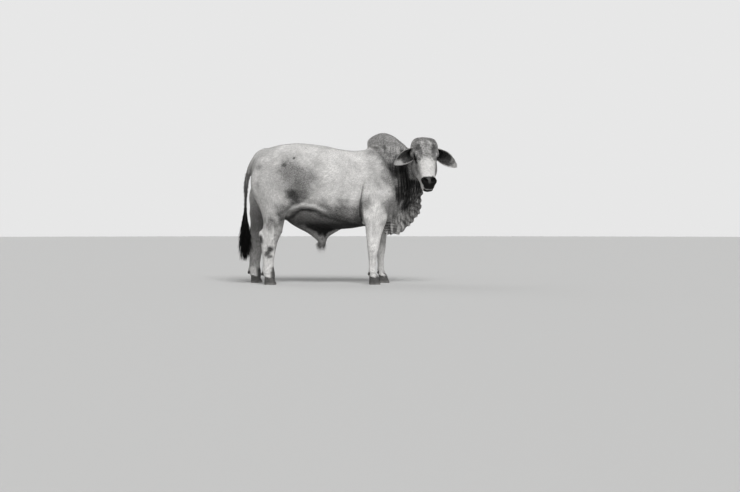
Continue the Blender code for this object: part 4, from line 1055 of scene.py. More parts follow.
def refine(piece, chosen):
    """Splits each chosen face of a mesh in four."""
    shape = bmesh.new()
    shape.from_mesh(piece.data)
    shape.faces.ensure_lookup_table()
    edges = {edge for i in np.nonzero(chosen)[0] for edge in shape.faces[i].edges}
    bmesh.ops.subdivide_edges(shape, edges=list(edges), cuts=1, use_grid_fill=True)
    shape.to_mesh(piece.data)
    shape.free()


def face_middles(piece):
    """The middles of a mesh's faces."""
    return gather(piece.data.polygons, "center", 3).astype(float)


def mouth_line(u):
    """How far out of the face the line of the mouth lies, at a place along the face."""
    table = sorted((row[0], row[1]) for row in MOUTH)
    return np.interp(u, [row[0] for row in table], [row[1] for row in table])


def head_zone(points):
    """The head, and the folded side of the neck."""
    face = place_in(HEAD, points)
    head = head_share(face) > 0.02
    x, y, z = points.T
    return head | ((x > 0.74) & (x < 1.06) & (y < -0.05) & (z > 0.66) & (z < 1.34))


def feature_zone(points):
    """The surroundings of the eyes, nostrils and mouth."""
    face = place_in(HEAD, points)
    spots = folded(face)
    eye = np.linalg.norm(spots - np.array(EYE), axis=1) < 0.050
    nostril = np.linalg.norm(spots - np.array(NOSTRIL), axis=1) < 0.045
    mouth = (np.abs(face[:, 2] - mouth_line(face[:, 0])) < 0.016) & (face[:, 0] > 0.41)
    return (eye | nostril | mouth) & (face[:, 0] < 0.65) & (np.abs(face[:, 1]) < 0.16)


def finest_zone(points):
    """The lids and the nostrils."""
    spots = folded(place_in(HEAD, points))
    eye = np.linalg.norm(spots - np.array(EYE), axis=1) < 0.036
    away, _ = near_line(spots, NOSTRIL_PATH)
    return eye | (away < 0.020)


def on_trunk(points):
    """1 on the trunk and thighs, falling to 0 down the legs and up the neck."""
    return soft_step(points[:, 2], 0.50, 0.66) * fade(points[:, 0], 0.80, 0.90)


def fused_hide():
    """The whole flesh as one closed skin, finer on the head and round its features."""
    core = fuse("core", core_forms(), CORE_VOXEL, WORK)
    relax(core, CORE_ROUNDS)
    points = [Vector(p) for p in read_points(core)]
    core_form = (points, [tuple(f.vertices) for f in core.data.polygons])
    bpy.data.objects.remove(core)
    skin = fuse("hide", [core_form] + limb_forms() + head_forms(), HIDE_VOXEL, WORK)
    relax(skin, HIDE_ROUNDS)
    relax(skin, TRUNK_ROUNDS, on_trunk)
    for zone in (head_zone, feature_zone, finest_zone):
        refine(skin, zone(face_middles(skin)))
        relax(skin, ZONE_ROUNDS, lambda p: zone(p).astype(float))
    return skin


def neck_pleats(side):
    """Paths, widths and depths of the long pleats down the side of the neck."""
    rng = np.random.default_rng(11)
    pleats = []
    for i in range(NECK_PLEATS):
        top = 0.775 + 0.027 * i + rng.uniform(-0.004, 0.004)
        sag = 0.016 * i
        start = 1.300 - 0.010 * i - rng.uniform(0.0, 0.05)
        end = 0.735 + 0.020 * (i % 3) + rng.uniform(0.0, 0.03)
        path = ((top - 0.006, start), (top + 0.022, 1.150), (top + 0.040, 1.000),
                (top + 0.042 - sag * 0.4, 0.870), (top + 0.022 - sag, end))
        pleats.append((path, rng.uniform(0.0060, 0.0095), rng.uniform(0.0050, 0.0090)))
    return pleats if side < 0 else pleats[2::3]


def shape_neck(hide):
    """Pleats of the neck, hanging folds of the dewlap and wrinkles of the brisket, all with painted shade.
    """
    for side in (-1, 1):
        for path, width, depth in neck_pleats(side):
            hide.crease(path, width, depth, side, 0.85)
        for i in range(DEWLAP_PLEATS):
            x = 0.745 + 0.042 * i
            low = float(np.interp(x, (0.70, 0.85, 1.05), (0.56, 0.56, 0.70)))
            path = ((x + 0.030, low + 0.25), (x + 0.012, low + 0.14), (x, low + 0.02))
            hide.crease(path, 0.010, 0.0055, side, 0.45, 0.0)
        for i in range(BRISKET_WRINKLES):
            z = 0.512 + 0.027 * i
            path = ((0.585, z - 0.010), (0.650, z + 0.007), (0.730, z + 0.004), (0.815, z - 0.014))
            hide.crease(path, 0.0075, 0.0085, side, 0.8, 0.0, 0.105)


def shape_dewlap_edge(hide):
    """The lobes and sway of the dewlap's free edge, with painted shade in its grooves."""
    lobe, swing, zone, reach = dewlap_lobes(hide.points)
    off_head = 1 - hide.on_head
    edge = np.clip(1.25 - np.abs(hide.normals[:, 1]) * 1.6, 0.0, 1.0) * zone * off_head
    hide.sink(NOTCH_DEPTH * lobe ** 2 * edge * soft_step(reach, 0.25, 0.80))
    hide.points[:, 1] += EDGE_SWAY * swing * reach * off_head
    groove = np.exp(-((lobe - 1.0) / 0.40) ** 2) * reach * np.abs(hide.normals[:, 1]) * off_head
    hide.sink(GROOVE_DEPTH * groove)
    # Painted shade in the grooves
    hide.fold = np.maximum(hide.fold, 0.55 * groove)


def shape_body(hide):
    """Creases with painted shade, bones and ribs of the shoulder, flank, rump and thigh."""
    for side in (-1, 1):
        for path, width, depth, dark in BODY_LINES:
            hide.crease(path, width, depth, side, dark)
    for spot, radii, height in BODY_BONES:
        hide.swell(spot, radii, height)
    ribs = hide.points[:, 0] + 0.22 * (1.1 - hide.points[:, 2])
    on_ribs = hill(hide.points[:, 0] - 0.24, 0.20) * hill(hide.points[:, 2] - 1.02, 0.20)
    hide.sink(RIB_RELIEF * np.sin(2 * math.pi * ribs / RIB_SPACING) * on_ribs * np.abs(hide.normals[:, 1]))
    hide.sink(HIDE_RELIEF * wander(hide.points, 0.16, 5) * (1 - hide.on_head))


def shape_legs(hide):
    """Bones, tendons and joints of the legs, with painted shade in their furrows."""
    legs = ((HIND_STEP, HIND_LINES, HIND_BONES), (FORE_STEP, FORE_LINES, FORE_BONES))
    for side in (-1, 1):
        for table, lines, _ in legs:
            for path, width, depth, dark in lines:
                path = [(x + (between(table, z) if side > 0 else 0.0), z) for x, z in path]
                hide.crease(path, width, depth, side, dark)
        for table, _, bones in legs:
            for (x, y, z), radii, height in bones:
                step = between(table, z) if side > 0 else 0.0
                hide.swell((x + step, y, z), radii, height, (side,))
    for _, x, y, _ in foot_places():
        away = np.abs(hide.points[:, 1] - y)
        low = fade(hide.points[:, 2], 0.085, 0.125)
        here = np.abs(hide.points[:, 0] - x) < 0.12
        hide.sink(CLEFT[0] * hill(away, CLEFT[1]) * low * here * np.abs(hide.normals[:, 0]))
        band = hill(hide.points[:, 2] - CORONET - 0.012, CORONET_BAND[1])
        hide.sink(-CORONET_BAND[0] * band * here)


def shape_tail(hide):
    """The bones of the tail, the wrinkles of sheath and scrotum and the seam of the scrotum."""
    x, y, z = hide.points.T
    on_tail = by_tail(hide.points, -0.66) & (z < 1.16)
    spacing, relief = TAIL_BONE
    hide.sink(-relief * np.sin(2 * math.pi * z / spacing) * on_tail)
    on_sheath = (np.abs(y) < 0.08) & (x > -0.10) & (x < 0.14) & (z < 0.56)
    spacing, relief = SHEATH_WRINKLE
    hide.sink(relief * np.sin(2 * math.pi * (z + 0.35 * np.abs(x)) / spacing) * on_sheath
              * fade(z, 0.48, 0.56) * np.abs(hide.normals[:, 1]))
    on_scrotum = (np.abs(y) < 0.09) & (x > -0.52) & (x < -0.35) & (z < 0.66)
    spacing, relief = SCROTUM_WRINKLE
    shake = 2 * wander(hide.points, 0.05, 3)
    hide.sink(relief * np.sin(2 * math.pi * z / spacing + shake) * on_scrotum)
    hide.sink(SCROTUM_SEAM * hill(y, 0.010) * on_scrotum * fade(z, 0.58, 0.66))


def shape_muzzle(hide):
    """Draws the lips and chin in below the broad nostrils."""
    face = hide.face.copy()
    ahead = soft_step(face[:, 0], 0.455, 0.515) * hide.on_head
    face[:, 1] *= 1 - ahead * np.interp(-face[:, 2], *LIP_SQUEEZE)
    face[:, 1] *= 1 + 0.075 * cloud(folded(face), *NOSTRIL_WING) * hide.on_head
    hide.points += (place_out(HEAD, face) - place_out(HEAD, hide.face))
    hide.keep()


def shape_face(hide):
    """Brow, bridge, cheek, lips and chin."""
    shape_muzzle(hide)
    hide.face_crease(((0.165, 0.070, 0.004), (0.200, 0.098, -0.008), (0.255, 0.098, -0.020)),
                     0.013, -0.0065)
    hide.face_swell((0.175, 0.0, 0.010), (0.050, 0.045, 0.030), -0.004)
    hide.face_swell((0.330, 0.0, 0.000), (0.110, 0.022, 0.030), 0.003)
    hide.face_crease(((0.250, 0.064, -0.012), (0.330, 0.056, -0.014), (0.420, 0.050, -0.020)),
                     0.016, 0.0022, 0.0)
    hide.face_crease(((0.270, 0.098, -0.075), (0.320, 0.088, -0.080), (0.385, 0.076, -0.078)),
                     0.012, -0.0045)
    hide.face_crease(((0.290, 0.100, -0.115), (0.345, 0.086, -0.120), (0.400, 0.070, -0.115)),
                     0.013, 0.0045, 0.25)
    hide.face_swell((0.285, 0.098, -0.050), (0.022, 0.020, 0.020), -0.004)
    hide.face_swell((0.100, 0.115, -0.120), (0.030, 0.030, 0.050), -0.003)
    hide.face_swell((0.530, 0.000, -0.160), (0.035, 0.050, 0.030), 0.004)
    hide.face_crease(((0.545, 0.0, -0.022), (0.562, 0.0, -0.050), (0.566, 0.0, -0.080)), 0.005, 0.0035)
    for k in range(3):
        u = 0.090 + 0.022 * k
        hide.face_crease(((u, 0.0, 0.012), (u + 0.006, 0.040, 0.012), (u - 0.004, 0.080, 0.006)),
                         0.006, 0.0018, 0.15)
    hide.keep()
    face = hide.face
    away = np.abs(face[:, 2] - mouth_line(face[:, 0]))
    wide = soft_step(face[:, 0], 0.412, 0.440) * hide.on_head
    line = hill(away, MOUTH_CUT[1]) * wide
    lips = hill(away - 0.012, LIP_SWELL[1]) * wide
    hide.sink(MOUTH_CUT[0] * line - LIP_SWELL[0] * lips)
    # Painted shade along the mouth's cut
    hide.fold = np.maximum(hide.fold, 0.95 * hill(away, 0.0026) * wide)
    hide.keep()


def nostril_pit(hide, side):
    """One nostril: a comma-shaped hole with a swollen rim."""
    path = [to_side(p, side) for p in NOSTRIL_PATH]
    away, along = near_line(hide.face, path)
    width = mix(*NOSTRIL_WIDTHS, along)
    near = (away < 0.05) & (hide.on_head > 0.5)
    pit = np.where(near, np.exp(-(away / width) ** 2.6), 0.0)
    rim = np.where(near, hill(away - width * 1.6, 0.0080), 0.0)
    inward = np.array(HEAD.to_3x3().normalized() @ to_side(NOSTRIL_INWARD, side).normalized())
    hide.sink(-NOSTRIL_RIM * rim)
    hide.points += inward * (NOSTRIL_DEPTH * pit)[:, None]
    # Where the nostril's hole lies, which paint_hide fills with painted shade
    hide.pit = np.maximum(hide.pit, soft_step(pit, 0.06, 0.35))


def slit_edge(a):
    """Half the height of the opening between the lids, at a place along it."""
    long, tall = EYE_SLIT
    share = np.clip(np.abs(a) / long, 0.0, 1.0)
    return tall * np.sqrt(1 - share ** 2) * (1 - 0.14 * share)


def shape_eye(hide, side):
    """Lids over the eyeball, their folds with painted shade in them, and the opening that shows it."""
    place = eye_frame(side)
    spots = place_in(place, hide.points)
    a, b, c = spots.T
    up = b * -side
    r = np.hypot(a, b)
    near = (r < 0.060) & (c > -0.035)
    lid_radius = EYE_RADIUS + LID * 0.75
    lid = np.sqrt(np.clip(lid_radius ** 2 - r ** 2, 0.0, None))
    over = np.where(r < lid_radius * 0.97, lid, -1.0)
    gap = over - c
    raised = c + np.where(gap > 0, gap, 0.0) * near
    blend = hill(np.clip(r - lid_radius * 0.80, 0.0, None), 0.010)
    c_new = mix(c, np.maximum(raised, c), blend)
    sunk = dark = 0.0
    for radius, width, depth, painted_shade, start, way in LID_FOLDS:
        fold = hill(np.abs(r - radius), width) * soft_step(way * up, *start)
        sunk = sunk + depth * fold
        dark = dark + painted_shade * fold
    c_new = c_new - near * sunk
    edge = slit_edge(a / LID_AT) * LID_AT
    inside = (np.abs(b) < edge) & (np.abs(a) < EYE_SLIT[0] * LID_AT) & near & (c > 0)
    well = np.sqrt(np.clip((EYE_RADIUS - 0.0040) ** 2 - r ** 2, 0.0, None))
    c_new = np.where(inside, np.minimum(c_new, well), c_new)
    spots[:, 2] = np.where(near, c_new, c)
    hide.points[near] = place_out(place, spots[near])
    hide.fold = np.maximum(hide.fold, np.clip(near * dark, 0, 1))
    hide.bare = np.maximum(hide.bare, near * fade(r, 0.0250, 0.0300))


def end_at_coronets(hide):
    """Closes each leg just above its claws, on the sloping coronet."""
    for _, x, y, _ in foot_places():
        here, plane = by_foot(hide.points, x, y)
        below = here & (hide.points[:, 2] < plane + 0.0025)
        drop = np.clip((plane - hide.points[:, 2]) / (CORONET - 0.030), 0.0, 1.0)
        centre = np.array([x, y])
        shrink = (1 - 0.9 * drop)[:, None]
        plan = centre + (hide.points[:, :2] - centre) * shrink
        hide.points[below, :2] = plan[below]
        hide.points[below, 2] = (plane - 0.004 * drop)[below]
        hide.bare[below & (drop > 0.02)] = 1.0


def cloud(points, centre, radii):
    """1 at the middle of an egg-shaped patch, falling softly to 0 at its edge."""
    away = np.linalg.norm((points - np.array(centre)) / np.array(radii), axis=1)
    return fade(away, 0.35, 1.20)


def clouded(level, spots, clouds):
    """The level with soft patches of other greys over it."""
    for centre, radii, target, share in clouds:
        level = mix(level, target, share * cloud(spots, centre, radii))
    return level


def dewlap_lobes(points):
    """The scallops of the dewlap's free edge, 1 in the notches, its swing, zone and reach."""
    x, _, z = points.T
    ahead, rise = x - DEWLAP_HEART[0], z - DEWLAP_HEART[1]
    arc = np.arctan2(rise, ahead) * 0.30
    arc = arc + 0.012 * wander(points * (1, 0, 1), 0.12, 14)
    zone = soft_step(x, 0.66, 0.74) * fade(z, 0.92, 1.06)
    reach = soft_step(np.hypot(ahead, rise), 0.13, 0.30) * zone
    lobe = 0.5 - 0.5 * np.cos(2 * math.pi * arc / LOBE)
    return lobe, np.sin(2 * math.pi * arc / (2 * LOBE)), zone, reach


def neck_tone(level, points, spots):
    """The dark neck and dewlap with their streaks, ahead of the shoulder's edge."""
    x, _, z = spots.T
    edge = np.interp(z, SHOULDER_EDGE_Z, SHOULDER_EDGE_X)
    grown = soft_step(z, 0.45, 0.52) * soft_step(x, 0.45, 0.55)
    level = mix(level, 0.27, soft_step(x - edge, -0.120, -0.040) * grown * fade(z, 1.30, 1.40))
    streak = wander(points * (1, 1, 0.12), 0.018, 28) + wander(points * (1, 1, 0.10), 0.045, 29)
    dark = np.interp(z, *NECK_DARK) * np.clip(1 + 0.40 * streak, 0.3, 2.2)
    core, _ = near_line(spots[:, [0, 2]], NECK_CORE)
    dark = mix(dark, 0.010, hill(core, 0.055) * 0.95)
    dark = dark + 0.16 * np.clip(streak - 0.75, 0.0, 1.0) * soft_step(x, 0.84, 0.93)
    lobe, _, _, reach = dewlap_lobes(points)
    # Painted shade in the dewlap's notches and painted light on its scallops
    dark = dark * (1 + 0.55 * reach * (0.5 - lobe))
    return mix(level, dark, soft_step(x - edge, -0.055, 0.030) * grown)


def hump_tone(level, points, spots):
    """The mottled hump, with painted shade where it meets the back."""
    x, _, z = spots.T
    hump = soft_step(x, 0.44, 0.52) * soft_step(z, 1.37, 1.43)
    mottle = wander(points, 0.022, 44) + wander(points, 0.050, 45)
    level = mix(level, 0.27 * (1 + 0.14 * mottle), hump * 0.9)
    # Painted shade in the hollow where the hump meets the back
    return mix(level, 0.24, hill(np.hypot(x - 0.52, z - 1.37), 0.07) * 0.5)


def painted_belly_light_and_shade(level, points, shake):
    """A painted highlight on the edge of the flank's fold and painted shade on the belly under it."""
    x, y, z = points.T
    arch = np.interp(x, ARCH_X, ARCH_Z) + 0.006 * shake
    torso = (x > -0.45) & (x < 0.46) & (np.abs(y) < 0.33)
    painted_lit_edge = hill(z - arch - 0.022, 0.024) * torso * fade(x, 0.0, 0.15)
    level = mix(level, 0.66, 0.65 * painted_lit_edge * soft_step(x, -0.40, -0.27))
    painted_shade = np.interp(z, *BELLY_PAINTED_SHADE) * (1 - 0.75 * hill(z - arch + 0.030, 0.022))
    return mix(level, painted_shade, fade(z - arch, -0.050, 0.006) * torso * 0.95)


def leg_tone(level, points, spots, normals):
    """Pale legs, partly painted light, with painted shade inside and darker over the front of the
    pasterns.
    """
    x, y, z = points.T
    height = spots[:, 2]
    legs = fade(height, 0.55, 0.70)
    on_leg = (np.abs(y) > 0.105) & ((x < -0.30) | (x > 0.44)) & (z < 0.74)
    # The legs' own pale grey, raised further as painted light where the upright sides miss the light from
    # above
    level = mix(level, 0.66, legs * on_leg * 0.55)
    level = mix(level, 0.84, legs * on_leg * (x > 0.40) * 0.7)
    # Painted shade on the inner sides of the legs
    inner = soft_step(-normals[:, 1] * np.sign(y), 0.05, 0.60)
    inner = inner * fade(z, 0.70, 1.00) * (np.abs(y) > 0.06)
    level = mix(level, np.interp(z, *INNER_LEG_PAINTED_SHADE), inner * fade(x, -0.46, -0.38) * 0.85)
    level = mix(level, 0.30, inner * (x > 0.40) * 0.5)
    front = soft_step(normals[:, 0], 0.05, 0.60) * on_leg
    pastern = fade(height, 0.105, 0.160) * on_leg
    return mix(level, mix(0.62, 0.05, front), pastern * 0.9)


def tail_tone(level, points):
    """The tail, darker down to its brush."""
    z = points[:, 2]
    away, _ = near_line(points, [(x, TAIL_Y, height) for x, height, _ in TAIL])
    rising = TAIL[::-1]
    thick = np.interp(z, [row[1] for row in rising], [row[2] for row in rising])
    tail = fade(away - thick, 0.006, 0.016) * (points[:, 0] < -0.66)
    return mix(level, np.interp(z, *TAIL_SHADE), tail * np.interp(z, *TAIL_SHARE))


def sheath_tone(level, points, shake):
    """The dark scrotum and the grey band along the sheath."""
    x, y, z = points.T
    on_scrotum = (np.abs(y) < 0.09) & (x > -0.53) & (x < -0.34)
    level = mix(level, 0.045, on_scrotum * fade(z, 0.62, 0.70))
    rise = z - np.interp(x, *UNDERLINE) + 0.008 * shake
    on_sheath = (np.abs(y) < 0.075) & (x > -0.36) & (x < 0.20)
    band = fade(rise / np.interp(x, *SHEATH_BAND), 0.55, 1.10)
    return mix(level, np.interp(x, *SHEATH_SHADE), on_sheath * band * 0.9)


def body_tone(points, normals):
    """The greys of trunk, neck, hump, legs and tail, by place."""
    warp = wanders(points, 0.20, (21, 22, 23))
    fine = wanders(points, 0.07, (24, 25, 26))
    spots = points + 0.034 * warp + 0.013 * fine
    x, _, z = spots.T
    level = 0.63 + 0.04 * wander(points, 0.35, 27)
    level = mix(level, 0.48, soft_step(-x, 0.30, 0.60) * 0.8)
    # Painted shade low on the trunk, where its sides turn under
    trunk = soft_step(x, -0.46, -0.38) * fade(x, 0.80, 0.90)
    level = mix(level, np.interp(z, *TRUNK_PAINTED_SHADE), fade(z, 0.78, 0.92) * trunk)
    level = clouded(level, folded(spots), CLOUDS)
    level = neck_tone(level, points, spots)
    level = hump_tone(level, points, spots)
    level = painted_belly_light_and_shade(level, points, fine[:, 0])
    level = leg_tone(level, points, spots, normals)
    level = clouded(level, 0.7 * points + 0.3 * spots, RIGHT_CLOUDS)
    level = tail_tone(level, points)
    return sheath_tone(level, points, fine[:, 0])


def face_tone(face):
    """The greys of the head, with painted shade in places, by place along and across the face."""
    warp = wanders(face, 0.09, (31, 32, 33))
    fine = wanders(face, 0.03, (34, 35, 36))
    both = folded(face + 0.007 * warp + 0.004 * fine)
    u, w, v = both.T
    level = np.interp(u, *FACE_SHADE)
    # Painted shade low on the jaw
    level = mix(level, 0.16, fade(v, -0.24, -0.14) * fade(u, 0.30, 0.45))
    level = clouded(level, both, FACE_CLOUDS)
    side = np.interp(-v, *PAD_SIDE)
    muzzle = soft_step(u + 0.25 * (v + 0.02) - np.interp(w, *PAD_TOP), -0.008, 0.008)
    muzzle = muzzle * fade(w - side, -0.005, 0.006)
    level = mix(level, 0.66, soft_step(w - side, -0.004, 0.006) * soft_step(u, 0.490, 0.505))
    level = mix(level, 0.0025, muzzle)
    pad_middle = cloud(both, (0.515, 0.0, -0.010), (0.042, 0.026, 0.032))
    level = mix(level, 0.095, pad_middle * 0.8)
    # Painted shade on the upper lip, over the mouth
    level = mix(level, 0.002, hill(v - mouth_line(u) - 0.010, 0.010) * muzzle * soft_step(u, 0.49, 0.52))
    rim = hill(v - mouth_line(u) + 0.012, 0.0090) * soft_step(u, 0.49, 0.52)
    rim = rim * fade(w, 0.036, 0.046)
    level = mix(level, 0.48, rim)
    mottle = wander(face, 0.013, 46) + 0.8 * wander(face, 0.028, 47)
    forehead = fade(u, 0.26, 0.33) * soft_step(v, -0.13, -0.05)
    return level * np.clip(1 + 0.24 * forehead * mottle, 0.3, 1.8)


def bare_skin(face):
    """Where the face has bare, moist skin: the pad of the nose and the rims of the lips."""
    u = face[:, 0]
    w = np.abs(face[:, 1])
    v = face[:, 2]
    pad = soft_step(u + 0.25 * (v + 0.02), 0.494, 0.508) * fade(w, 0.066, 0.076)
    pad = pad * soft_step(v, -0.096, -0.086)
    lips = hill(np.abs(v - mouth_line(u)), 0.006) * soft_step(u, 0.430, 0.460)
    return np.maximum(pad, 0.8 * lips)


def lie_of_coat(points, normals):
    """Which way the hair lies at each point, as unit arrows along the surface."""
    count = len(points)
    x, y, z = points.T
    way = np.tile([-1.0, 0.0, -0.42], (count, 1))

    def blend(new, weight):
        nonlocal way
        way = way + (np.array(new) - way) * weight[:, None]

    blend((-1.0, 0.0, -0.10), soft_step(z, 1.30, 1.42))
    blend((-0.45, 0.0, -1.0), soft_step(-x, 0.35, 0.52) * fade(z, 1.05, 1.25))
    blend((-0.35, 0.0, -1.0), soft_step(x, 0.45, 0.60) * fade(z, 0.95, 1.25))
    blend((-0.30, 0.0, -1.0), soft_step(x, 0.78, 0.90))
    limb = (np.abs(y) > 0.085) & (z < 0.80)
    blend((-0.15, 0.0, -1.0), limb * fade(z, 0.60, 0.78))
    blend((0.0, 0.0, -1.0), by_tail(points, -0.66).astype(float))
    way += 0.22 * wanders(points, 0.30, (41, 42, 43))
    face = place_in(HEAD, points)
    on_head = head_share(face)
    whorl = face - np.array([0.150, 0.0, 0.0])
    whorl[:, 2] *= 0.3
    whorl[:, 0] += 0.10
    down_face = unit(whorl @ np.array(HEAD.to_3x3().normalized()).T, 1e-9)
    way = way + (down_face - way) * on_head[:, None]
    way -= normals * np.sum(way * normals, axis=1)[:, None]
    return unit(way, 1e-9)


def set_mark(mesh, name, values):
    """Stores one number a point for the materials to read."""
    mark = mesh.attributes.new(name, "FLOAT", "POINT")
    mark.data.foreach_set("value", np.asarray(values, dtype=np.float32))


def plain_marks(count, tone, bare=0.0):
    """The marks of a piece that has no folds."""
    return {"Tone": np.full(count, tone), "PaintedShade": np.zeros(count), "Bare": np.full(count, bare)}


def set_marks(mesh, marks, times=1):
    """Stores several marks, each number for that many points in a row."""
    for name, values in marks.items():
        set_mark(mesh, name, np.repeat(values, times))


def lock_points(lines, sides, radii, flat):
    """The points of many three-edged locks, a row a lock: rings of three, then the tip."""
    count, stations, _ = lines.shape
    rings = stations - 1
    along = unit(lines[:, 1:] - lines[:, :-1], 1e-12)
    rise = unit(np.cross(sides[:, None, :], along), 1e-12)
    across = np.cross(along, rise)
    corners = np.empty((count, rings, 3, 3))
    for k, angle in enumerate((-0.5 * math.pi - LOCK_TURN, -0.5 * math.pi, -0.5 * math.pi + LOCK_TURN)):
        shift = across * math.cos(angle) - rise * flat * math.sin(angle)
        corners[:, :, k] = lines[:, :-1] + shift * radii[:, :, None]
    return np.concatenate([corners.reshape(count, 3 * rings, 3), lines[:, -1:]], axis=1)


def lock_faces(rings):
    """The corners of one lock's faces in one row, and how many corners each face has."""
    loops = [2, 1, 0]
    lengths = [3]
    for s in range(rings - 1):
        for k in range(3):
            a, b = 3 * s + k, 3 * s + (k + 1) % 3
            loops += [a, b, b + 3, a + 3]
            lengths.append(4)
    last = 3 * (rings - 1)
    for k in range(3):
        loops += [last + k, last + (k + 1) % 3, 3 * rings]
        lengths.append(3)
    return np.array(loops), lengths


def locks_mesh(name, lines, sides, radii, flat, marks, patches, facing=None):
    """Many thin closed locks in one mesh.

    lines holds each lock's middle points from root to tip, sides a unit arrow across each lock,
    radii its half width at every point but the tip, flat its depth as a share of its width, patches
    the place of its root in the bake map, and facing the way it shades, where that follows the skin.
    """
    count, stations, _ = lines.shape
    rings = stations - 1
    size = 3 * rings + 1
    points = lock_points(lines, sides, radii, flat)
    pattern, lengths = lock_faces(rings)
    all_loops = (pattern[None, :] + size * np.arange(count)[:, None]).ravel()
    lengths = np.tile(lengths, count)
    starts = np.concatenate([[0], np.cumsum(lengths)[:-1]])
    mesh = bpy.data.meshes.new(name)
    mesh.vertices.add(count * size)
    mesh.vertices.foreach_set("co", points.astype(np.float32).ravel())
    mesh.loops.add(len(all_loops))
    mesh.loops.foreach_set("vertex_index", all_loops.astype(np.int32))
    mesh.polygons.add(len(lengths))
    mesh.polygons.foreach_set("loop_start", starts.astype(np.int32))
    mesh.update(calc_edges=True)
    mesh.validate()
    set_marks(mesh, marks, size)
    spread = np.array([(pattern % 3) / 3, np.minimum(pattern // 3, rings) / rings]).T * PATCH
    corner = np.clip(patches, 0.0, 1.0 - PATCH)
    layer = mesh.uv_layers.new(name="OFBake")
    layer.uv.foreach_set("vector", (corner[:, None] + spread[None]).astype(np.float32).ravel())
    mesh.shade_smooth()
    if facing is not None:
        shading = mesh.attributes.new("custom_normal", "FLOAT_VECTOR", "POINT")
        facing = np.repeat(facing, size, axis=0).astype(np.float32)
        shading.data.foreach_set("vector", facing.ravel())
    return put(name, mesh, BULL)


def triangles_of(mesh):
    """The corner indices of a mesh's triangles."""
    mesh.calc_loop_triangles()
    return gather(mesh.loop_triangles, "vertices", 3, np.int32)


def read_mark(mesh, name):
    """One stored number a point."""
    return gather(mesh.attributes[name].data, "value", 1)[:, 0].astype(float)


class Ground:
    """The hide's triangles, where tufts take root."""

    def __init__(self, piece):
        self.points = read_points(piece)
        self.normals = read_normals(piece)
        names = ("Tone", "PaintedShade", "Bare", "Down", "Face")
        self.marks = {name: read_mark(piece.data, name) for name in names}
        self.corners = triangles_of(piece.data)
        a, b, c = (self.points[self.corners[:, k]] for k in range(3))
        self.area = np.linalg.norm(np.cross(b - a, c - a), axis=1) / 2
        self.middles = (a + b + c) / 3
        self.grow = bare_or_hidden(self.middles)
        self.part = part_of_hide(self.middles)

    def scatter(self, weight, count, rng):
        """Evenly spread places on the hide by weight: points, normals and the marks there."""
        total = np.cumsum(self.area * self.grow * weight)
        picks = (np.arange(count) + rng.uniform(0, 1, count)) / count * total[-1]
        chosen = self.corners[np.minimum(np.searchsorted(total, picks), len(self.corners) - 1)]
        mixing = rng.dirichlet((1.0, 1.0, 1.0), count)
        roots = np.einsum("nk,nkj->nj", mixing, self.points[chosen])
        ups = unit(np.einsum("nk,nkj->nj", mixing, self.normals[chosen]))
        marks = {}
        for name, values in self.marks.items():
            marks[name] = np.einsum("nk,nk->n", mixing, values[chosen])
        return roots, ups, marks


def coat(name, ground, part, count, length, width, unwrap):
    """Short tufts that lie along the hide."""
    rng = np.random.default_rng(100 + part)
    roots, ups, marks = ground.scatter(ground.part == part, count, rng)
    ways = lie_of_coat(roots, ups)
    sides = np.cross(ups, ways)
    turn = rng.normal(0.0, 0.16, count)
    ways = ways * np.cos(turn)[:, None] + sides * np.sin(turn)[:, None]
    sides = np.cross(ups, ways)
    reach = length * rng.uniform(0.7, 1.3, count)
    lift = rng.uniform(0.05, 0.16, count)
    thick = width * rng.uniform(0.7, 1.3, count)
    lines = np.empty((count, 2, 3))
    lines[:, 0] = roots - ups * 0.0007
    lines[:, 1] = roots + ways * reach[:, None] + ups * (reach * lift)[:, None]
    facing = ups + ways * rng.normal(0.10, 0.12, count)[:, None]
    facing = facing + sides * rng.normal(0.0, 0.16, count)[:, None]
    marks["Fleck"] = rng.normal(0.0, 1.0, count)
    return locks_mesh(name, lines, sides, thick[:, None] / 2, 0.45, marks, unwrap(roots), unit(facing))


def long_coat(name, ground, weight, count, length, width, droop, unwrap):
    """Longer hairs that leave the hide and hang."""
    rng = np.random.default_rng(count)
    roots, ups, marks = ground.scatter(weight, count, rng)
    ways = lie_of_coat(roots, ups) + rng.normal(0.0, 0.18, (count, 3))
    sides = unit(np.cross(ups, ways))
    reach = length * rng.uniform(0.55, 1.25, count)
    lines = np.empty((count, 3, 3))
    for i, t in enumerate((0.0, 0.5, 1.0)):
        rise = reach * (0.30 * t - 0.02)
        lines[:, i] = roots + ways * (reach * t)[:, None] + ups * rise[:, None]
        lines[:, i, 2] -= reach * droop * t ** 2
    radii = np.tile((0.5, 0.45), (count, 1)) * (width * rng.uniform(0.7, 1.3, count))[:, None]
    facing = unit(ups + 0.3 * rng.normal(0.0, 1.0, (count, 3)))
    marks["Fleck"] = rng.normal(0.0, 1.6, count)
    return locks_mesh(name, lines, sides, radii, 0.6, marks, unwrap(roots), facing)


def barrel_unwrap(axis, start, end, middle):
    """Round the trunk for one side of the map and along it for the other."""
    def unwrap(points):
        cross = [k for k in range(3) if k != axis]
        angle = np.arctan2(points[:, cross[0]] - middle[0], points[:, cross[1]] - middle[1])
        along = (points[:, axis] - start) / (end - start)
        return np.stack([angle / (2 * math.pi) + 0.5, along], axis=1)
    return unwrap


def face_unwrap(points):
    """Round the head for one side of the map and down the face for the other."""
    face = place_in(HEAD, points)
    angle = np.arctan2(face[:, 1], face[:, 2] + 0.10)
    return np.stack([angle / (2 * math.pi) + 0.5, (face[:, 0] + 0.05) / 0.70], axis=1)


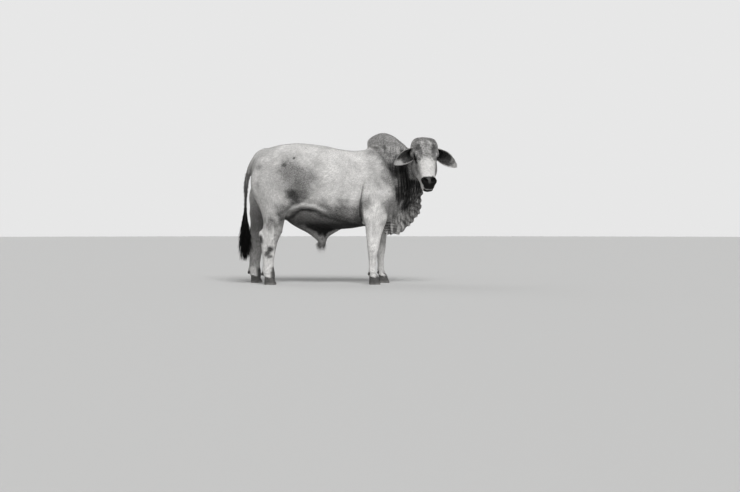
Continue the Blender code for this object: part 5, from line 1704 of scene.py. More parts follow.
def legs_unwrap(points):
    """Each leg in a quarter of the map, round it and down it."""
    plan = np.array([(x, y) for _, x, y, _ in foot_places()])
    away = np.linalg.norm(points[:, None, :2] - plan[None], axis=2)
    nearest = np.argmin(away, axis=1)
    shift = points[:, :2] - plan[nearest]
    angle = np.arctan2(shift[:, 1], shift[:, 0]) / (2 * math.pi) + 0.5
    return np.stack([(nearest + angle) / 4, points[:, 2] / 0.80], axis=1)


def dress(piece, surface, slot, *nodes):
    """Gives a finished piece its surface, moves it over the origin and ties it to the frame."""
    piece.data.materials.clear()
    piece.data.materials.append(surface)
    piece.data.transform(Matrix.Translation(-ORIGIN))
    piece.data.update()
    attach(piece, "root")
    if nodes:
        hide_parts(*nodes)


def sheet_normals(grid):
    """Arrows that stand on a grid of points, unscaled."""
    return np.cross(np.gradient(grid, axis=0), np.gradient(grid, axis=1))


def shell(name, grid, thickness):
    """A closed sheet of varying thickness round a grid of points."""
    normal = unit(sheet_normals(grid), 1e-12)
    half = thickness[:, :, None] / 2
    rows, columns, _ = grid.shape
    sheets = (grid + normal * half, grid - normal * half)
    points = np.concatenate([sheet.reshape(-1, 3) for sheet in sheets])
    faces = []
    base = rows * columns
    for i in range(rows - 1):
        for j in range(columns - 1):
            a = i * columns + j
            quad = (a, a + columns, a + columns + 1, a + 1)
            faces.append(quad)
            faces.append(tuple(base + k for k in reversed(quad)))
    rim = [j for j in range(columns)]
    rim += [i * columns + columns - 1 for i in range(1, rows)]
    rim += [(rows - 1) * columns + j for j in range(columns - 2, -1, -1)]
    rim += [i * columns for i in range(rows - 2, 0, -1)]
    for k, a in enumerate(rim):
        b = rim[(k + 1) % len(rim)]
        faces.append((a, b, base + b, base + a))
    return mesh_object(name, points, faces, BULL)


def ear_grid(side_name, side):
    """The middle sheet of one ear as a grid of points, and the way ahead of the face."""
    steps, across = EAR_CELLS
    out = HEAD.to_3x3().normalized() @ Vector((0, side, 0))
    ahead = Vector((math.cos(HEAD_TURN), math.sin(HEAD_TURN), 0))
    drop = Vector((0, 0, -1))
    root = HEAD @ to_side(EAR_ROOT, side)
    places = Matrix((out, drop, ahead)).transposed()
    bend = root + places @ Vector(EAR_BEND[side_name])
    tip = root + places @ Vector(EAR_TIP[side_name])
    grid = np.empty((steps + 1, across + 1, 3))
    for i in range(steps + 1):
        t = i / steps
        spine = root * (1 - t) ** 2 + bend * (2 * t * (1 - t)) + tip * t ** 2
        along = ((bend - root) * (1 - t) + (tip - bend) * t).normalized()
        face = ahead * 0.95 + drop * 0.10
        face = (face - along * face.dot(along)).normalized()
        wide = along.cross(face)
        roll = math.radians(88 * (1 - t) ** 1.3 + 34)
        half = between(EAR_HALF_WIDTH, t) / math.sin(min(roll, math.pi / 2))
        for j in range(across + 1):
            a = (2 * j / across - 1) * roll
            wave = 0.0016 * math.sin(9 * t + 2 * a) * t
            cup = half * 0.9 * (1 - math.cos(a)) + wave
            grid[i, j] = spine + wide * (half * math.sin(a)) + face * cup
    return grid, ahead


def ear(side_name, side):
    """A long drooping ear with ridges inside its cup and a thin rim."""
    steps, across = EAR_CELLS
    grid, ahead = ear_grid(side_name, side)
    t = np.linspace(0, 1, steps + 1)[:, None] * np.ones(across + 1)
    s = np.ones(steps + 1)[:, None] * np.linspace(-1, 1, across + 1)
    ridge = np.cos(3.5 * math.pi * s) * 0.0012 * (1 - t) * (1 - s ** 2)
    grid = grid + np.array(ahead) * ridge[:, :, None]
    thickness = EAR_SKIN * (0.80 - 0.45 * np.abs(s) ** 3) * (1 - 0.55 * t) + 0.0008
    made = shell("ear_hide_" + side_name, grid, thickness)
    points = read_points(made)
    count = (steps + 1) * (across + 1)
    t_all = np.tile(t.ravel(), 2)
    s_all = np.tile(np.abs(s.ravel()), 2)
    inner_first = np.mean(sheet_normals(grid).reshape(-1, 3) @ np.array(ahead)) > 0
    inside = np.concatenate([np.full(count, inner_first), np.full(count, not inner_first)])
    warp = 0.10 * wander(points, 0.05, 51)
    level = mix(0.30, 0.44, soft_step(t_all + warp, 0.1, 0.6))
    inner = mix(0.008, 0.06, soft_step(t_all + 0.5 * warp, 0.25, 0.50))
    inner = mix(inner, 0.42, soft_step(s_all + 0.4 * warp, 0.80, 0.96))
    reach = t_all + 0.9 * warp - 0.12 * np.tile(s.ravel(), 2) - (0.16 if side > 0 else 0.04)
    inner = mix(inner, 0.40, soft_step(reach, 0.46, 0.78))
    level = np.where(inside, inner, level)
    set_mark(made.data, "Tone", level)
    # Painted shade deep in the cup, towards its root
    set_mark(made.data, "PaintedShade", np.where(inside, 0.25 * (1 - s_all) * (1 - t_all), 0.0))
    set_mark(made.data, "Bare", np.where(inside, 0.5 * (1 - s_all), 0.0))
    made.data.shade_smooth()
    rng = np.random.default_rng(61 if side_name == "left" else 62)
    rim_hairs(side_name, grid, rng)
    cup_hairs(side_name, grid, rng, 1.0 if inner_first else -1.0)
    return made


def bent_lines(starts, roots, way, fall, length, bends):
    """Lines from the starts that leave the roots one way and bend over, in shares of their length."""
    rows = [starts]
    for reach, drop in bends:
        rows.append(roots + way * (length * reach)[:, None] + fall * (length * drop)[:, None])
    return np.stack(rows, axis=1)


def ear_hairs(name, rng, hair, starts, roots, way, down, across, along):
    """Fine hairs of an ear that leave their roots one way and fall, at places of the bake map."""
    count, lengths, widths, vary, shades, bends, jitter = hair
    way = unit(way)
    length = rng.uniform(*lengths, count)
    lines = bent_lines(starts, roots, way, down, length, bends)
    sides = unit(np.cross(way, down + 0.01))
    radii = np.tile(widths, (count, 1)) * rng.uniform(*vary, count)[:, None]
    marks = plain_marks(count, mix(*shades, rng.uniform(0, 1, count)))
    marks["Fleck"] = rng.normal(0, 1, count)
    patches = np.stack([across + rng.uniform(0, jitter, count), along], axis=1)
    dress(locks_mesh(name, lines, sides, radii, 0.6, marks, patches), HIDE, "pale_hide")


def rim_hairs(side_name, grid, rng):
    """Fine hairs round the rim of an ear."""
    steps, across = EAR_CELLS
    count = RIM_HAIR[0]
    t = rng.uniform(0.10, 0.99, count) ** 0.85
    edge = rng.choice((-1.0, 1.0), count)
    rows = np.clip((t * steps).astype(int), 0, steps - 1)
    part = (t * steps - rows)[:, None]
    columns = np.where(edge > 0, across, 0)
    rim = grid[rows, columns] * (1 - part) + grid[rows + 1, columns] * part
    outward = unit(rim - grid[rows, np.where(edge > 0, across - 2, 2)])
    down = unit(grid[rows + 1, columns] - grid[rows, columns])
    way = outward * 0.55 + down * 0.8 + rng.normal(0, 0.16, (count, 3))
    ear_hairs("ear_fringe_" + side_name, rng, RIM_HAIR, rim - outward * 0.002, rim, way, down,
              0.25 + 0.5 * (edge > 0), t)


def cup_hairs(side_name, grid, rng, inner_sign):
    """Longer fine hairs inside the cup of an ear."""
    steps, across = EAR_CELLS
    count = CUP_HAIR[0]
    t = rng.uniform(0.08, 0.62, count)
    s = rng.choice((-1.0, 1.0), count) * rng.uniform(0.45, 0.95, count)
    cells = ((t * steps).astype(int), ((s + 1) / 2 * across).astype(int))
    roots = grid[cells]
    down = unit(np.gradient(grid, axis=0)[cells])
    inward = unit(sheet_normals(grid)[cells] * inner_sign)
    to_middle = -unit(np.gradient(grid, axis=1)[cells]) * np.sign(s)[:, None]
    way = inward * 0.50 + down * 0.75 + to_middle * 0.55 + rng.normal(0, 0.15, (count, 3))
    ear_hairs("ear_hair_" + side_name, rng, CUP_HAIR, roots, roots, way, down, (s + 1) / 2, t)


def eyeball(side_name, side):
    """A glossy eye with a bulging cornea over a dark iris."""
    place = eye_frame(side)
    shape = bmesh.new()
    bmesh.ops.create_uvsphere(shape, u_segments=48, v_segments=32, radius=1.0)
    mesh = mesh_of("eye_ball_" + side_name, shape)
    mesh.shade_smooth()
    made = put("eye_ball_" + side_name, mesh, BULL)
    ways = read_points(made)
    open_angle = np.arccos(np.clip(ways[:, 2], -1, 1))
    bulge = 0.0010 * fade(open_angle, 0.45, 0.80)
    local = ways * (EYE_RADIUS - 0.0008 + bulge)[:, None]
    write_points(made, place_out(place, local))
    set_mark(mesh, "Disc", open_angle)
    set_mark(mesh, "Pupil", np.hypot(ways[:, 0] / 0.42, ways[:, 1] / 0.20))
    return made


def lid_rim(side_name, side):
    """The thick dark margin of the lids, a closed ring round the opening."""
    place = eye_frame(side)
    count, around = LID_RING
    long, _ = EYE_SLIT
    middles = []
    for i in range(count):
        angle = 2 * math.pi * i / count
        a = math.cos(angle) * long * LID_AT
        b = math.copysign(float(slit_edge(a / LID_AT)), math.sin(angle)) * LID_AT
        reach = math.sqrt(max((EYE_RADIUS + 0.0012) ** 2 - a * a - b * b, 0.0))
        middles.append(Vector((a, b, reach)))
    points = []
    for i in range(count):
        ahead = (middles[(i + 1) % count] - middles[i - 1]).normalized()
        out = middles[i].normalized()
        across = ahead.cross(out).normalized()
        radius = sum(LID_EDGE) if middles[i].y * -side > 0 else LID_EDGE[0]
        for k in range(around):
            turn = 2 * math.pi * k / around
            edge = middles[i] + across * (radius * math.cos(turn))
            points.append(place @ (edge + out * (radius * math.sin(turn))))
    faces = []
    for i in range(count):
        for k in range(around):
            row, after = i * around, ((i + 1) % count) * around
            ahead = (k + 1) % around
            faces.append((row + k, row + ahead, after + ahead, after + k))
    made = mesh_object("eye_lid_" + side_name, points, faces, BULL)
    set_marks(made.data, plain_marks(len(points), 0.012, 1.0))
    made.data.shade_smooth()
    return made


def lashes(side_name, side):
    """A row of lashes along the upper lid, with a few below."""
    place = eye_frame(side)
    rng = np.random.default_rng(71 if side_name == "left" else 72)
    count = LASH_COUNT
    long, _ = EYE_SLIT
    upper = rng.uniform(0, 1, count) < 0.72
    a = rng.uniform(-0.92, 0.92, count) * long
    b = slit_edge(a) * np.where(upper, -side, side) * 1.10
    c = np.sqrt(np.clip((EYE_RADIUS + 0.0034) ** 2 - a ** 2 - b ** 2, 0, None))
    roots = np.stack([a, b, c], axis=1)
    out = unit(roots)
    up = np.zeros_like(roots)
    up[:, 1] = np.where(upper, -side, side)
    fan = np.zeros_like(roots)
    fan[:, 0] = a / long * 0.5
    length = np.where(upper, rng.uniform(0.012, 0.018, count), rng.uniform(0.006, 0.009, count))
    way = out * 0.95 - up * 0.05 + fan
    local = bent_lines(roots - out * 0.001, roots, way, up * 0.45, length, LASH_BENDS)
    lines = place_out(place, local.reshape(-1, 3)).reshape(count, 4, 3)
    sides = np.tile(np.array(place.to_3x3() @ Vector((1, 0, 0))), (count, 1))
    radii = np.tile((0.00055, 0.00050, 0.00035), (count, 1))
    marks = plain_marks(count, 0.02)
    marks["Fleck"] = np.zeros(count)
    patches = np.stack([(a / long + 1) / 2, np.where(upper, 0.75, 0.25)], axis=1)
    return locks_mesh("eye_lashes_" + side_name, lines, sides, radii, 0.8, marks, patches)


def hoof(name, x, y):
    """The two claws of one foot, ringed by their growth and worn at the toe."""
    forms = []
    count, levels = HOOF_POINTS
    for lean in (-1, 1):
        offset = math.copysign((CLAW_WIDTH + CLAW_SPLIT) / 2, y) * lean
        rings = []
        for i in range(levels + 1):
            share = i / levels
            height = share * (CORONET + 0.004)
            rear, front, half = (between([(row[0], row[j]) for row in CLAW], height) for j in (1, 2, 3))
            worn = WEAR[1] * math.exp(-(height / WEAR[0]) ** 2)
            ring = []
            for k in range(count):
                turn = 2 * math.pi * k / count
                across = math.copysign(abs(math.sin(turn)) ** (2 / WALL_SQUARE), math.sin(turn))
                ahead = math.copysign(abs(math.cos(turn)) ** (2 / WALL_SQUARE), math.cos(turn))
                grow = GROWTH[1] * math.sin(2 * math.pi * height / GROWTH[0] + 1.3 * ahead)
                size = 1.0 - worn / half + grow / half
                px = x + (rear + front) / 2 + ahead * (front - rear) / 2 * size
                py = y + offset + across * half * size
                slope = -CORONET_SLOPE * (px - x) * share
                ring.append(Vector((px, py, height + slope)))
            rings.append(ring)
        forms.append(loft(rings))
    made = mesh_object("hoof_" + name, *joined(forms), BULL)
    set_mark(made.data, "Height", read_points(made)[:, 2])
    made.data.shade_smooth()
    made.data.set_sharp_from_angle(angle=math.radians(50))
    return made


def dewclaws(name, y, rear):
    """The two small horny spurs behind a fetlock."""
    forms = []
    for lean in (-1, 1):
        middle = (rear + DEWCLAW_SINK, y + math.copysign(DEWCLAW_SPREAD, y) * lean, DEWCLAW_HEIGHT)
        radii = np.array(DEWCLAW) - 0.0008
        points, faces = ball(middle, radii, DEWCLAW_LEAN, None, (28, 22))
        ringed = []
        for p in points:
            out = p - Vector(middle)
            ringed.append(Vector(middle) + out * (1 + 0.018 * math.sin(out.z / 0.0011)))
        forms.append((ringed, faces))
    made = mesh_object("spurs_" + name, *joined(forms), BULL)
    set_mark(made.data, "Height", read_points(made)[:, 2] - 0.06)
    made.data.shade_smooth()
    return made


def tail_brush():
    """The black brush of the tail in several hundred long thin locks."""
    rng = np.random.default_rng(7)
    count, stations, clumps = BRUSH_LOCKS, BRUSH_STATIONS, BRUSH_CLUMPS
    start = rng.uniform(0, 1, count) ** 1.2
    z = mix(SWITCH_TOP + 0.004, 0.520, start)
    angle = rng.uniform(0, 2 * math.pi, count)
    out = np.stack([np.cos(angle), 0.62 * np.sin(angle), np.zeros(count)], axis=1)
    x = TAIL[-1][0]
    depth = np.interp(z, (0.50, 0.54, 0.62, 0.70, 0.78), (0.010, 0.020, 0.024, 0.019, 0.0145))
    middle = np.full(count, TAIL_Y)
    roots = np.stack([np.full(count, x), middle, z], axis=1) + out * (depth * 0.85)[:, None]
    clump = np.floor(angle / (2 * math.pi) * clumps + 3 * start).astype(int) % clumps
    low = z - rng.uniform(0.16, 0.42, count) + rng.uniform(-0.05, 0.08, clumps)[clump]
    low = np.clip(low, 0.222, 0.66) + rng.uniform(0, 0.025, count)
    spread = np.interp(low, (0.22, 0.30, 0.45, 0.65), (0.050, 0.088, 0.086, 0.034))
    spread = spread * rng.uniform(0.25, 1.0, count) * rng.uniform(0.70, 1.25, clumps)[clump]
    tips = np.stack([np.full(count, x - 0.010), middle, low], axis=1) + out * spread[:, None]
    bulge = np.interp(z, (0.52, 0.62, 0.72), (0.022, 0.014, 0.004)) * rng.uniform(0.5, 1.3, count)
    bow = out * bulge[:, None]
    phase = clump * 2.4 + rng.uniform(-0.5, 0.5, count)
    lines = np.empty((count, stations, 3))
    for i in range(stations):
        t = i / (stations - 1)
        wave = 0.0045 * np.sin(phase + 7.0 * t) * t
        swing = np.stack([wave * np.sin(angle), -wave * np.cos(angle), np.zeros(count)], axis=1)
        aside = bow * math.sin(math.pi * t) + swing
        lines[:, i] = roots * (1 - t ** 1.9) + tips * t ** 1.9 + aside
        lines[:, i, 2] = z * (1 - t) + low * t
    sides = np.stack([-np.sin(angle), np.cos(angle), np.zeros(count)], axis=1)
    shape = np.array([0.7, 1.0, 1.05, 1.0, 0.85, 0.65, 0.40])
    radii = 0.0034 * rng.uniform(0.6, 1.3, count)[:, None] * shape[None]
    marks = plain_marks(count, 0.0030 * rng.uniform(0.4, 1.8, count))
    marks["Fleck"] = rng.normal(0, 1, count)
    patches = np.stack([angle / (2 * math.pi), (z - 0.45) / 0.40], axis=1)
    return locks_mesh("tail_brush", lines, sides, radii, 0.45, marks, patches)


def brush_core():
    """The end of the tail's flesh inside the brush."""
    across, side = Vector((1, 0, 0)), Vector((0, 1, 0))
    rings = []
    for z, radius in BRUSH_CORE:
        centre = Vector((TAIL[-1][0], TAIL_Y, z))
        rings.append(oval(centre, across, side, radius, radius, radius, 2.0, 24))
    made = mesh_object("tail_brush_core", *loft(rings), BULL)
    set_marks(made.data, plain_marks(len(made.data.vertices), 0.006))
    made.data.shade_smooth()
    return made


class Net:
    """A short way to write a material's nodes."""

    def __init__(self, name):
        self.material = bpy.data.materials.new(name)
        self.material.use_nodes = True
        self.tree = self.material.node_tree
        self.shader = self.tree.nodes["Principled BSDF"]
        self.coordinates = None

    def own_place(self):
        """Places in the piece's own coordinates, from one node that all textures share."""
        if self.coordinates is None:
            self.coordinates = self.node("TexCoord").outputs["Object"]
        return self.coordinates

    def join(self, source, target):
        """Puts a value or another node's output on a socket."""
        if isinstance(source, bpy.types.NodeSocket):
            self.tree.links.new(source, target)
        else:
            target.default_value = source

    def node(self, kind, **inputs):
        """A new node with values or outputs on its sockets."""
        made = self.tree.nodes.new("ShaderNode" + kind)
        for name, source in inputs.items():
            self.join(source, made.inputs[name.replace("_", " ")])
        return made

    def set(self, **inputs):
        """Values or outputs on the shader's own sockets."""
        for name, source in inputs.items():
            self.join(source, self.shader.inputs[name.replace("_", " ")])

    def mark(self, name):
        """A number stored on the mesh."""
        node = self.node("Attribute")
        node.attribute_name = name
        return node.outputs["Fac"]

    def math(self, operation, a, b=0.0):
        """One step of arithmetic."""
        node = self.node("Math")
        node.operation = operation
        self.join(a, node.inputs[0])
        self.join(b, node.inputs[1])
        return node.outputs[0]

    def times(self, a, b):
        """The product of two numbers."""
        return self.math("MULTIPLY", a, b)

    def plus(self, a, b):
        """The sum of two numbers."""
        return self.math("ADD", a, b)

    def span(self, value, low, high, start=0.0, end=1.0):
        """A value rescaled from one range to another, held within it."""
        node = self.node("MapRange", Value=value, From_Min=low, From_Max=high, To_Min=start, To_Max=end)
        node.interpolation_type = "SMOOTHSTEP"
        return node.outputs["Result"]

    def mix(self, weight, a, b):
        """A blend of two numbers."""
        node = self.node("Mix")
        for source, place in ((weight, 0), (a, 2), (b, 3)):
            self.join(source, node.inputs[place])
        return node.outputs[0]

    def noise(self, scale, detail=3.0, roughness=0.55, place=None, warp=0.0):
        """A noise texture over the object."""
        node = self.node("TexNoise", Scale=scale, Detail=detail, Roughness=roughness, Distortion=warp,
                         Vector=place or self.own_place())
        return node.outputs["Fac"]

    def cells(self, scale):
        """The distance to the nearest of many scattered points."""
        return self.node("TexVoronoi", Scale=scale, Vector=self.own_place()).outputs["Distance"]

    def strands(self, turn, long, fine, warp=0.0):
        """A noise drawn out along one direction, for hair and fibres."""
        node = self.node("Mapping")
        node.vector_type = "TEXTURE"
        sizes = (long, fine, fine)
        for name, source in (("Rotation", turn), ("Scale", sizes), ("Vector", self.own_place())):
            self.join(source, node.inputs[name])
        return self.noise(1.0, 3.0, 0.6, node.outputs[0], warp)

    def grey(self, value, tint):
        """A near-neutral colour of the given brightness."""
        node = self.node("CombineColor")
        for name, share in zip(("Red", "Green", "Blue"), tint):
            self.join(self.times(value, share), node.inputs[name])
        self.set(Base_Color=node.outputs[0])

    def bump(self, height, distance, strength):
        """Fine relief."""
        node = self.node("Bump", Strength=strength, Distance=distance, Height=height)
        self.set(Normal=node.outputs[0])


def hide_material():
    """Short grey hair over dark skin, with bare moist skin where the hide is marked bare."""
    net = Net("hide")
    bare = net.mark("Bare")
    fold = net.mark("PaintedShade")
    trunk = net.strands(ALONG_TRUNK, 0.055, 0.0042, 0.4)
    down = net.strands(UPRIGHT, 0.055, 0.0042, 0.4)
    face_turn = HEAD.to_3x3().normalized().to_euler()
    face = net.strands(tuple(face_turn), 0.030, 0.0030, 0.4)
    hair = net.mix(net.mark("Down"), trunk, down)
    hair = net.mix(net.mark("Face"), hair, face)
    broad = net.noise(9.0, 4.0, 0.6)
    speckle = net.noise(120.0, 2.0, 0.7)
    blotch = net.noise(38.0, 3.0, 0.6)
    value = net.times(net.mark("Tone"), net.span(broad, 0.3, 0.7, 0.88, 1.10))
    shake = net.span(net.mark("Tone"), 0.12, 0.55, 0.55, 0.14)
    grain = net.times(net.span(speckle, 0.30, 0.70, -1.0, 1.0), shake)
    value = net.times(value, net.plus(grain, 1.0))
    value = net.times(value, net.span(blotch, 0.30, 0.72, 0.92, 1.06))
    value = net.times(value, net.span(hair, 0.28, 0.72, 0.78, 1.18))
    # Painted shade: darkens the hide in its creases, folds and grooves and in the ear's cup
    value = net.times(value, net.span(fold, 0.0, 1.0, 1.0, 0.22))
    fleck = net.times(net.mark("Fleck"), 0.10)
    value = net.times(value, net.plus(fleck, 1.0))
    net.grey(value, (1.0, 0.985, 0.965))
    pebbles = net.times(net.cells(300.0), 0.55)
    height = net.mix(bare, net.plus(hair, net.times(speckle, 0.4)), pebbles)
    net.set(Roughness=net.mix(bare, net.span(hair, 0.3, 0.7, 0.66, 0.54), 0.42))
    net.bump(height, 0.0012, 0.60)
    net.set(Specular_IOR_Level=0.10)
    return net.material


def black_hair_material():
    """Long dark hair with a dull gloss along it."""
    net = Net("black_hair")
    strand = net.strands(UPRIGHT, 0.080, 0.0020, 0.3)
    value = net.times(net.mark("Tone"), net.span(strand, 0.25, 0.75, 0.45, 1.9))
    net.grey(value, (1.0, 0.97, 0.94))
    net.set(Roughness=net.span(strand, 0.2, 0.8, 0.40, 0.62))
    net.bump(strand, 0.0008, 0.7)
    net.set(Specular_IOR_Level=0.12)
    return net.material


def horn_material():
    """Dark grey horn with growth rings, upright fibres, scuffs and dust near the floor."""
    net = Net("horn")
    height = net.mark("Height")
    fibre = net.strands(UPRIGHT, 0.040, 0.0016)
    scuff = net.noise(70.0, 5.0, 0.65)
    dust = net.noise(26.0, 4.0, 0.6)
    ring = net.math("SINE", net.plus(net.times(height, 900.0), net.times(dust, 5.0)))
    value = net.span(fibre, 0.2, 0.8, 0.030, 0.075)
    value = net.times(value, net.span(ring, -1.0, 1.0, 0.75, 1.20))
    worn = net.times(net.span(scuff, 0.50, 0.70), 0.6)
    value = net.mix(worn, value, 0.16)
    low = net.times(net.span(height, 0.002, 0.030, 0.75, 0.10), net.span(dust, 0.3, 0.7, 0.3, 1.0))
    value = net.mix(low, value, 0.26)
    net.grey(value, (1.0, 0.97, 0.93))
    net.set(Roughness=net.mix(low, net.span(scuff, 0.3, 0.7, 0.38, 0.60), 0.85))
    relief = net.plus(net.times(ring, 0.30), fibre)
    net.bump(relief, 0.0010, 0.7)
    net.set(Specular_IOR_Level=0.45)
    return net.material


def eye_material():
    """A near-black brown iris with a wide dark pupil under a clear wet surface."""
    net = Net("eye")
    disc = net.mark("Disc")
    pupil = net.span(net.mark("Pupil"), 0.85, 1.10)
    rays = net.strands((0.3, 0.2, 0.1), 0.006, 0.0012)
    iris = net.times(net.span(rays, 0.3, 0.7, 0.006, 0.022), pupil)
    white = net.span(net.noise(300.0, 3.0), 0.3, 0.7, 0.10, 0.20)
    value = net.mix(net.span(disc, 0.86, 0.98), net.plus(iris, 0.0015), white)
    net.grey(value, (1.0, 0.78, 0.62))
    net.set(Roughness=net.span(net.noise(90.0, 3.0), 0.3, 0.7, 0.04, 0.10))
    net.set(Specular_IOR_Level=0.30, Coat_Weight=0.35, Coat_Roughness=0.02, Coat_IOR=1.376)
    return net.material


def paint_hide(piece, bare, pit):
    """Stores the markings of the hide and the lie of its hair."""
    points = read_points(piece)
    normals = read_normals(piece)
    face = place_in(HEAD, points)
    on_head = head_share(face)
    level = mix(body_tone(points, normals), face_tone(face), on_head)
    # Painted shade inside the nostrils
    level = mix(np.clip(level, 0.006, 0.85), 0.001, pit)
    way = lie_of_coat(points, normals)
    bare = np.clip(np.maximum(bare, bare_skin(face) * on_head) * (1 - pit), 0, 1)
    down = soft_step(-way[:, 2], 0.62, 0.88) * (1 - on_head)
    set_marks(piece.data, {"Tone": level, "Bare": bare, "Down": down, "Face": on_head})


def make_hide():
    """The finished skin: fused, creased, marked and closed above the claws."""
    skin = fused_hide()
    hide = Hide(skin)
    shape_body(hide)
    hide.keep()
    shape_neck(hide)
    shape_dewlap_edge(hide)
    shape_legs(hide)
    shape_tail(hide)
    hide.keep()
    shape_face(hide)
    for side in (-1, 1):
        nostril_pit(hide, side)
    hide.keep()
    relax(skin, 1)
    hide.points = read_points(skin)
    hide.normals = read_normals(skin)
    hide.sink(np.full(len(hide.points), COAT_DEPTH))
    for side in (-1, 1):
        shape_eye(hide, side)
    end_at_coronets(hide)
    hide.keep()
    # The shade painted into the creases and folds
    set_mark(skin.data, "PaintedShade", np.clip(hide.fold, 0, 1))
    paint_hide(skin, hide.bare, hide.pit)
    skin.data.shade_smooth()
    WORK.objects.unlink(skin)
    BULL.objects.link(skin)
    return skin


def bare_or_hidden(points):
    """1 where tufts grow, 0 on bare skin, in the eyes and mouth and on the closed leg ends."""
    face = place_in(HEAD, points)
    on_head = head_share(face)
    grow = 1 - (bare_skin(face) * on_head > 0.25)
    for side in (-1, 1):
        spots = place_in(eye_frame(side), points)
        grow = grow * ((np.hypot(spots[:, 0], spots[:, 1]) > 0.0285) | (spots[:, 2] < -0.02))
        away, _ = near_line(face, [to_side(p, side) for p in NOSTRIL_PATH])
        grow = grow * (away > 0.015)
    for _, x, y, _ in foot_places():
        here, plane = by_foot(points, x, y)
        grow = grow * ~(here & (points[:, 2] < plane - 0.001))
    return grow


def part_of_hide(points):
    """The number of the coat piece that each point belongs to."""
    x, y, z = points.T
    part = np.searchsorted(COAT_EDGES, x)
    limb = (np.abs(y) > 0.085) & (z < 0.74)
    part[limb & (x < 0)] = 6
    part[limb & (x > 0) & (x < 0.75)] = 7
    part[by_tail(points, -0.68)] = 6
    part[head_share(place_in(HEAD, points)) > 0.5] = 8
    return part


def make_coat(skin):
    """The short coat over the whole hide, in pieces by region."""
    ground = Ground(skin)
    along = barrel_unwrap(0, -0.80, 1.10, (0.0, 1.0))
    upright = barrel_unwrap(2, 0.40, 1.60, (0.93, -0.05))
    for name, part, count, length, width, unwrap in (
            ("coat_rump", 0, 31000, 0.0110, 0.0014, along),
            ("coat_hip", 1, 31000, 0.0110, 0.0014, along),
            ("coat_barrel", 2, 33000, 0.0110, 0.0014, along),
            ("coat_ribs", 3, 30000, 0.0110, 0.0014, along),
            ("coat_shoulder", 4, 33000, 0.0110, 0.0014, along),
            ("coat_neck", 5, 37000, 0.0100, 0.0013, upright),
            ("coat_hind_legs", 6, 32000, 0.0090, 0.0012, legs_unwrap),
            ("coat_fore_legs", 7, 24000, 0.0085, 0.0012, legs_unwrap),
            ("coat_head", 8, 42000, 0.0055, 0.0008, face_unwrap)):
        dress(coat(name, ground, part, count, length, width, unwrap), HIDE, "grey_hide")
    x, y, z = ground.middles.T
    face = place_in(HEAD, ground.middles)
    tail = by_tail(ground.middles, -0.69) & (z < 1.15)
    sheath = (np.abs(y) < 0.06) & (x > -0.04) & (x < 0.10) & (z < 0.43)
    u, w, v = face.T
    poll = (u < 0.060) & (u > -0.04) & (v > -0.10) & (np.abs(w) < 0.10) & (head_share(face) > 0.3)
    feet = np.zeros(len(x), dtype=bool)
    for _, foot_x, foot_y, rear in foot_places():
        here, plane = by_foot(ground.middles, foot_x, foot_y, 0.12)
        feet |= here & (z < plane + 0.010)
        feet |= here & (x < rear + 0.012) & (z < 0.150)
    for name, weight, count, *shape in (
            ("hair_tail", tail, 3600, 0.024, 0.0012, 0.15, upright),
            ("hair_sheath", sheath, 460, 0.046, 0.0012, 0.95, along),
            ("hair_poll", poll, 2200, 0.014, 0.0009, 0.20, face_unwrap),
            ("hair_feet", feet, 3200, 0.013, 0.0011, 0.25, legs_unwrap)):
        dress(long_coat(name, ground, weight, count, *shape), HIDE, "pale_hide")


def sun(name, way, power, spread):
    """A distant lamp, broad enough for soft shadows, that shines along a direction."""
    lamp = bpy.data.lights.new(name, "SUN")
    lamp.energy = power
    lamp.angle = math.radians(spread)
    made = put(name, lamp, bpy.context.scene.collection)
    made.rotation_euler = Vector(way).to_track_quat("-Z", "Y").to_euler()


def stage_piece(name, paint, shape, **values):
    """A floor or backdrop from a finished bmesh, with its own plain surface."""
    net = Net(paint)
    net.set(**values)
    mesh = mesh_of(name, shape)
    mesh.materials.append(net.material)
    made = put(name, mesh, bpy.context.scene.collection)
    return made


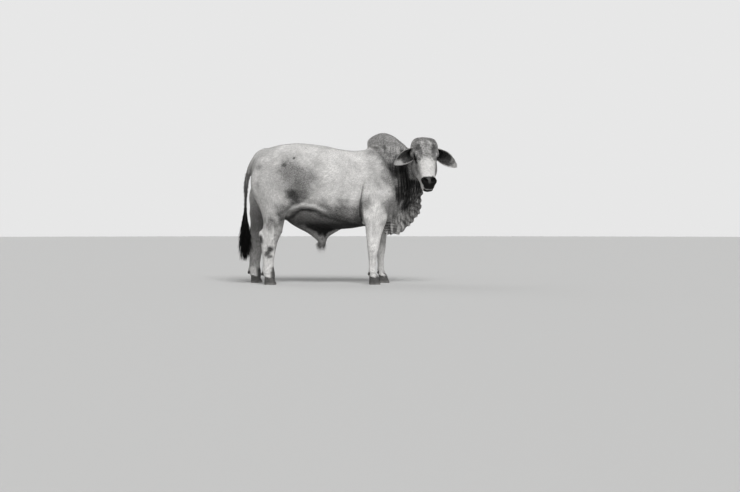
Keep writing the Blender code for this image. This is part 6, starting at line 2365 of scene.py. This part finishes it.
def set_stage():
    """A pale floor and backdrop, soft light and the camera."""
    shape = bmesh.new()
    bmesh.ops.create_circle(shape, cap_ends=True, segments=96, radius=STAGE_RADIUS)
    stage_piece("floor", "floor_paint", shape, Base_Color=FLOOR_GREY, Roughness=0.9)
    shape = bmesh.new()
    bmesh.ops.create_uvsphere(shape, u_segments=64, v_segments=32, radius=STAGE_RADIUS)
    backdrop = stage_piece("backdrop", "backdrop_glow", shape, Base_Color=(0.0, 0.0, 0.0, 1.0),
                           Specular_IOR_Level=0.0, Emission_Color=WHITE, Emission_Strength=BACKDROP_LIGHT)
    for kind in ("diffuse", "glossy", "shadow", "transmission"):
        setattr(backdrop, "visible_" + kind, False)
    world = bpy.data.worlds.new("studio")
    world.use_nodes = True
    light = world.node_tree.nodes["Background"].inputs
    light["Color"].default_value = WHITE
    light["Strength"].default_value = ROOM_LIGHT
    bpy.context.scene.world = world
    sun("key", *KEY_LIGHT)
    sun("back", *BACK_LIGHT)
    bpy.context.scene.view_settings.view_transform = "Standard"
    camera = bpy.data.cameras.new("camera")
    camera.lens = CAMERA_LENS
    camera.sensor_width = 36.0
    camera.shift_y = CAMERA_SHIFT
    camera.clip_end = 4 * STAGE_RADIUS
    seat = put("camera", camera, bpy.context.scene.collection)
    seat.location = CAMERA_PLACE
    seat.rotation_euler = (math.radians(90), 0.0, 0.0)
    bpy.context.scene.camera = seat


FLESH = ("torso", "hump", "neck", "dewlap", "head", "tail_upper", "tail_lower", "sheath", "scrotum",
         "leg_hind_right_upper", "leg_hind_left_upper", "leg_hind_right_lower", "leg_hind_left_lower",
         "leg_fore_right_upper", "leg_fore_left_upper", "leg_fore_right_lower", "leg_fore_left_lower")

BULL = bpy.data.collections.new("brahman_bull")
bpy.context.scene.collection.children.link(BULL)
WORK = bpy.data.collections.new("work")
bpy.context.scene.collection.children.link(WORK)
HIDE = hide_material()
BLACK_HAIR = black_hair_material()
HORN = horn_material()
EYE_SURFACE = eye_material()

skin = make_hide()
make_coat(skin)
dress(skin, HIDE, "grey_hide", *FLESH)
for side_name, side in SIDES:
    dress(ear(side_name, side), HIDE, "grey_hide", "ear_" + side_name)
    dress(eyeball(side_name, side), EYE_SURFACE, "eye_surface", "eye_" + side_name)
    dress(lid_rim(side_name, side), HIDE, "dark_hide")
    dress(lashes(side_name, side), BLACK_HAIR, "black_hair")
for name, x, y, rear in foot_places():
    dress(hoof(name, x, y), HORN, "hoof_horn", "claw_%s_outer" % name, "claw_%s_inner" % name)
    spurs = ("dewclaw_%s_outer" % name, "dewclaw_%s_inner" % name)
    dress(dewclaws(name, y, rear), HORN, "hoof_horn", *spurs)
dress(tail_brush(), BLACK_HAIR, "black_hair", "tail_switch")
dress(brush_core(), BLACK_HAIR, "black_hair")
set_stage()
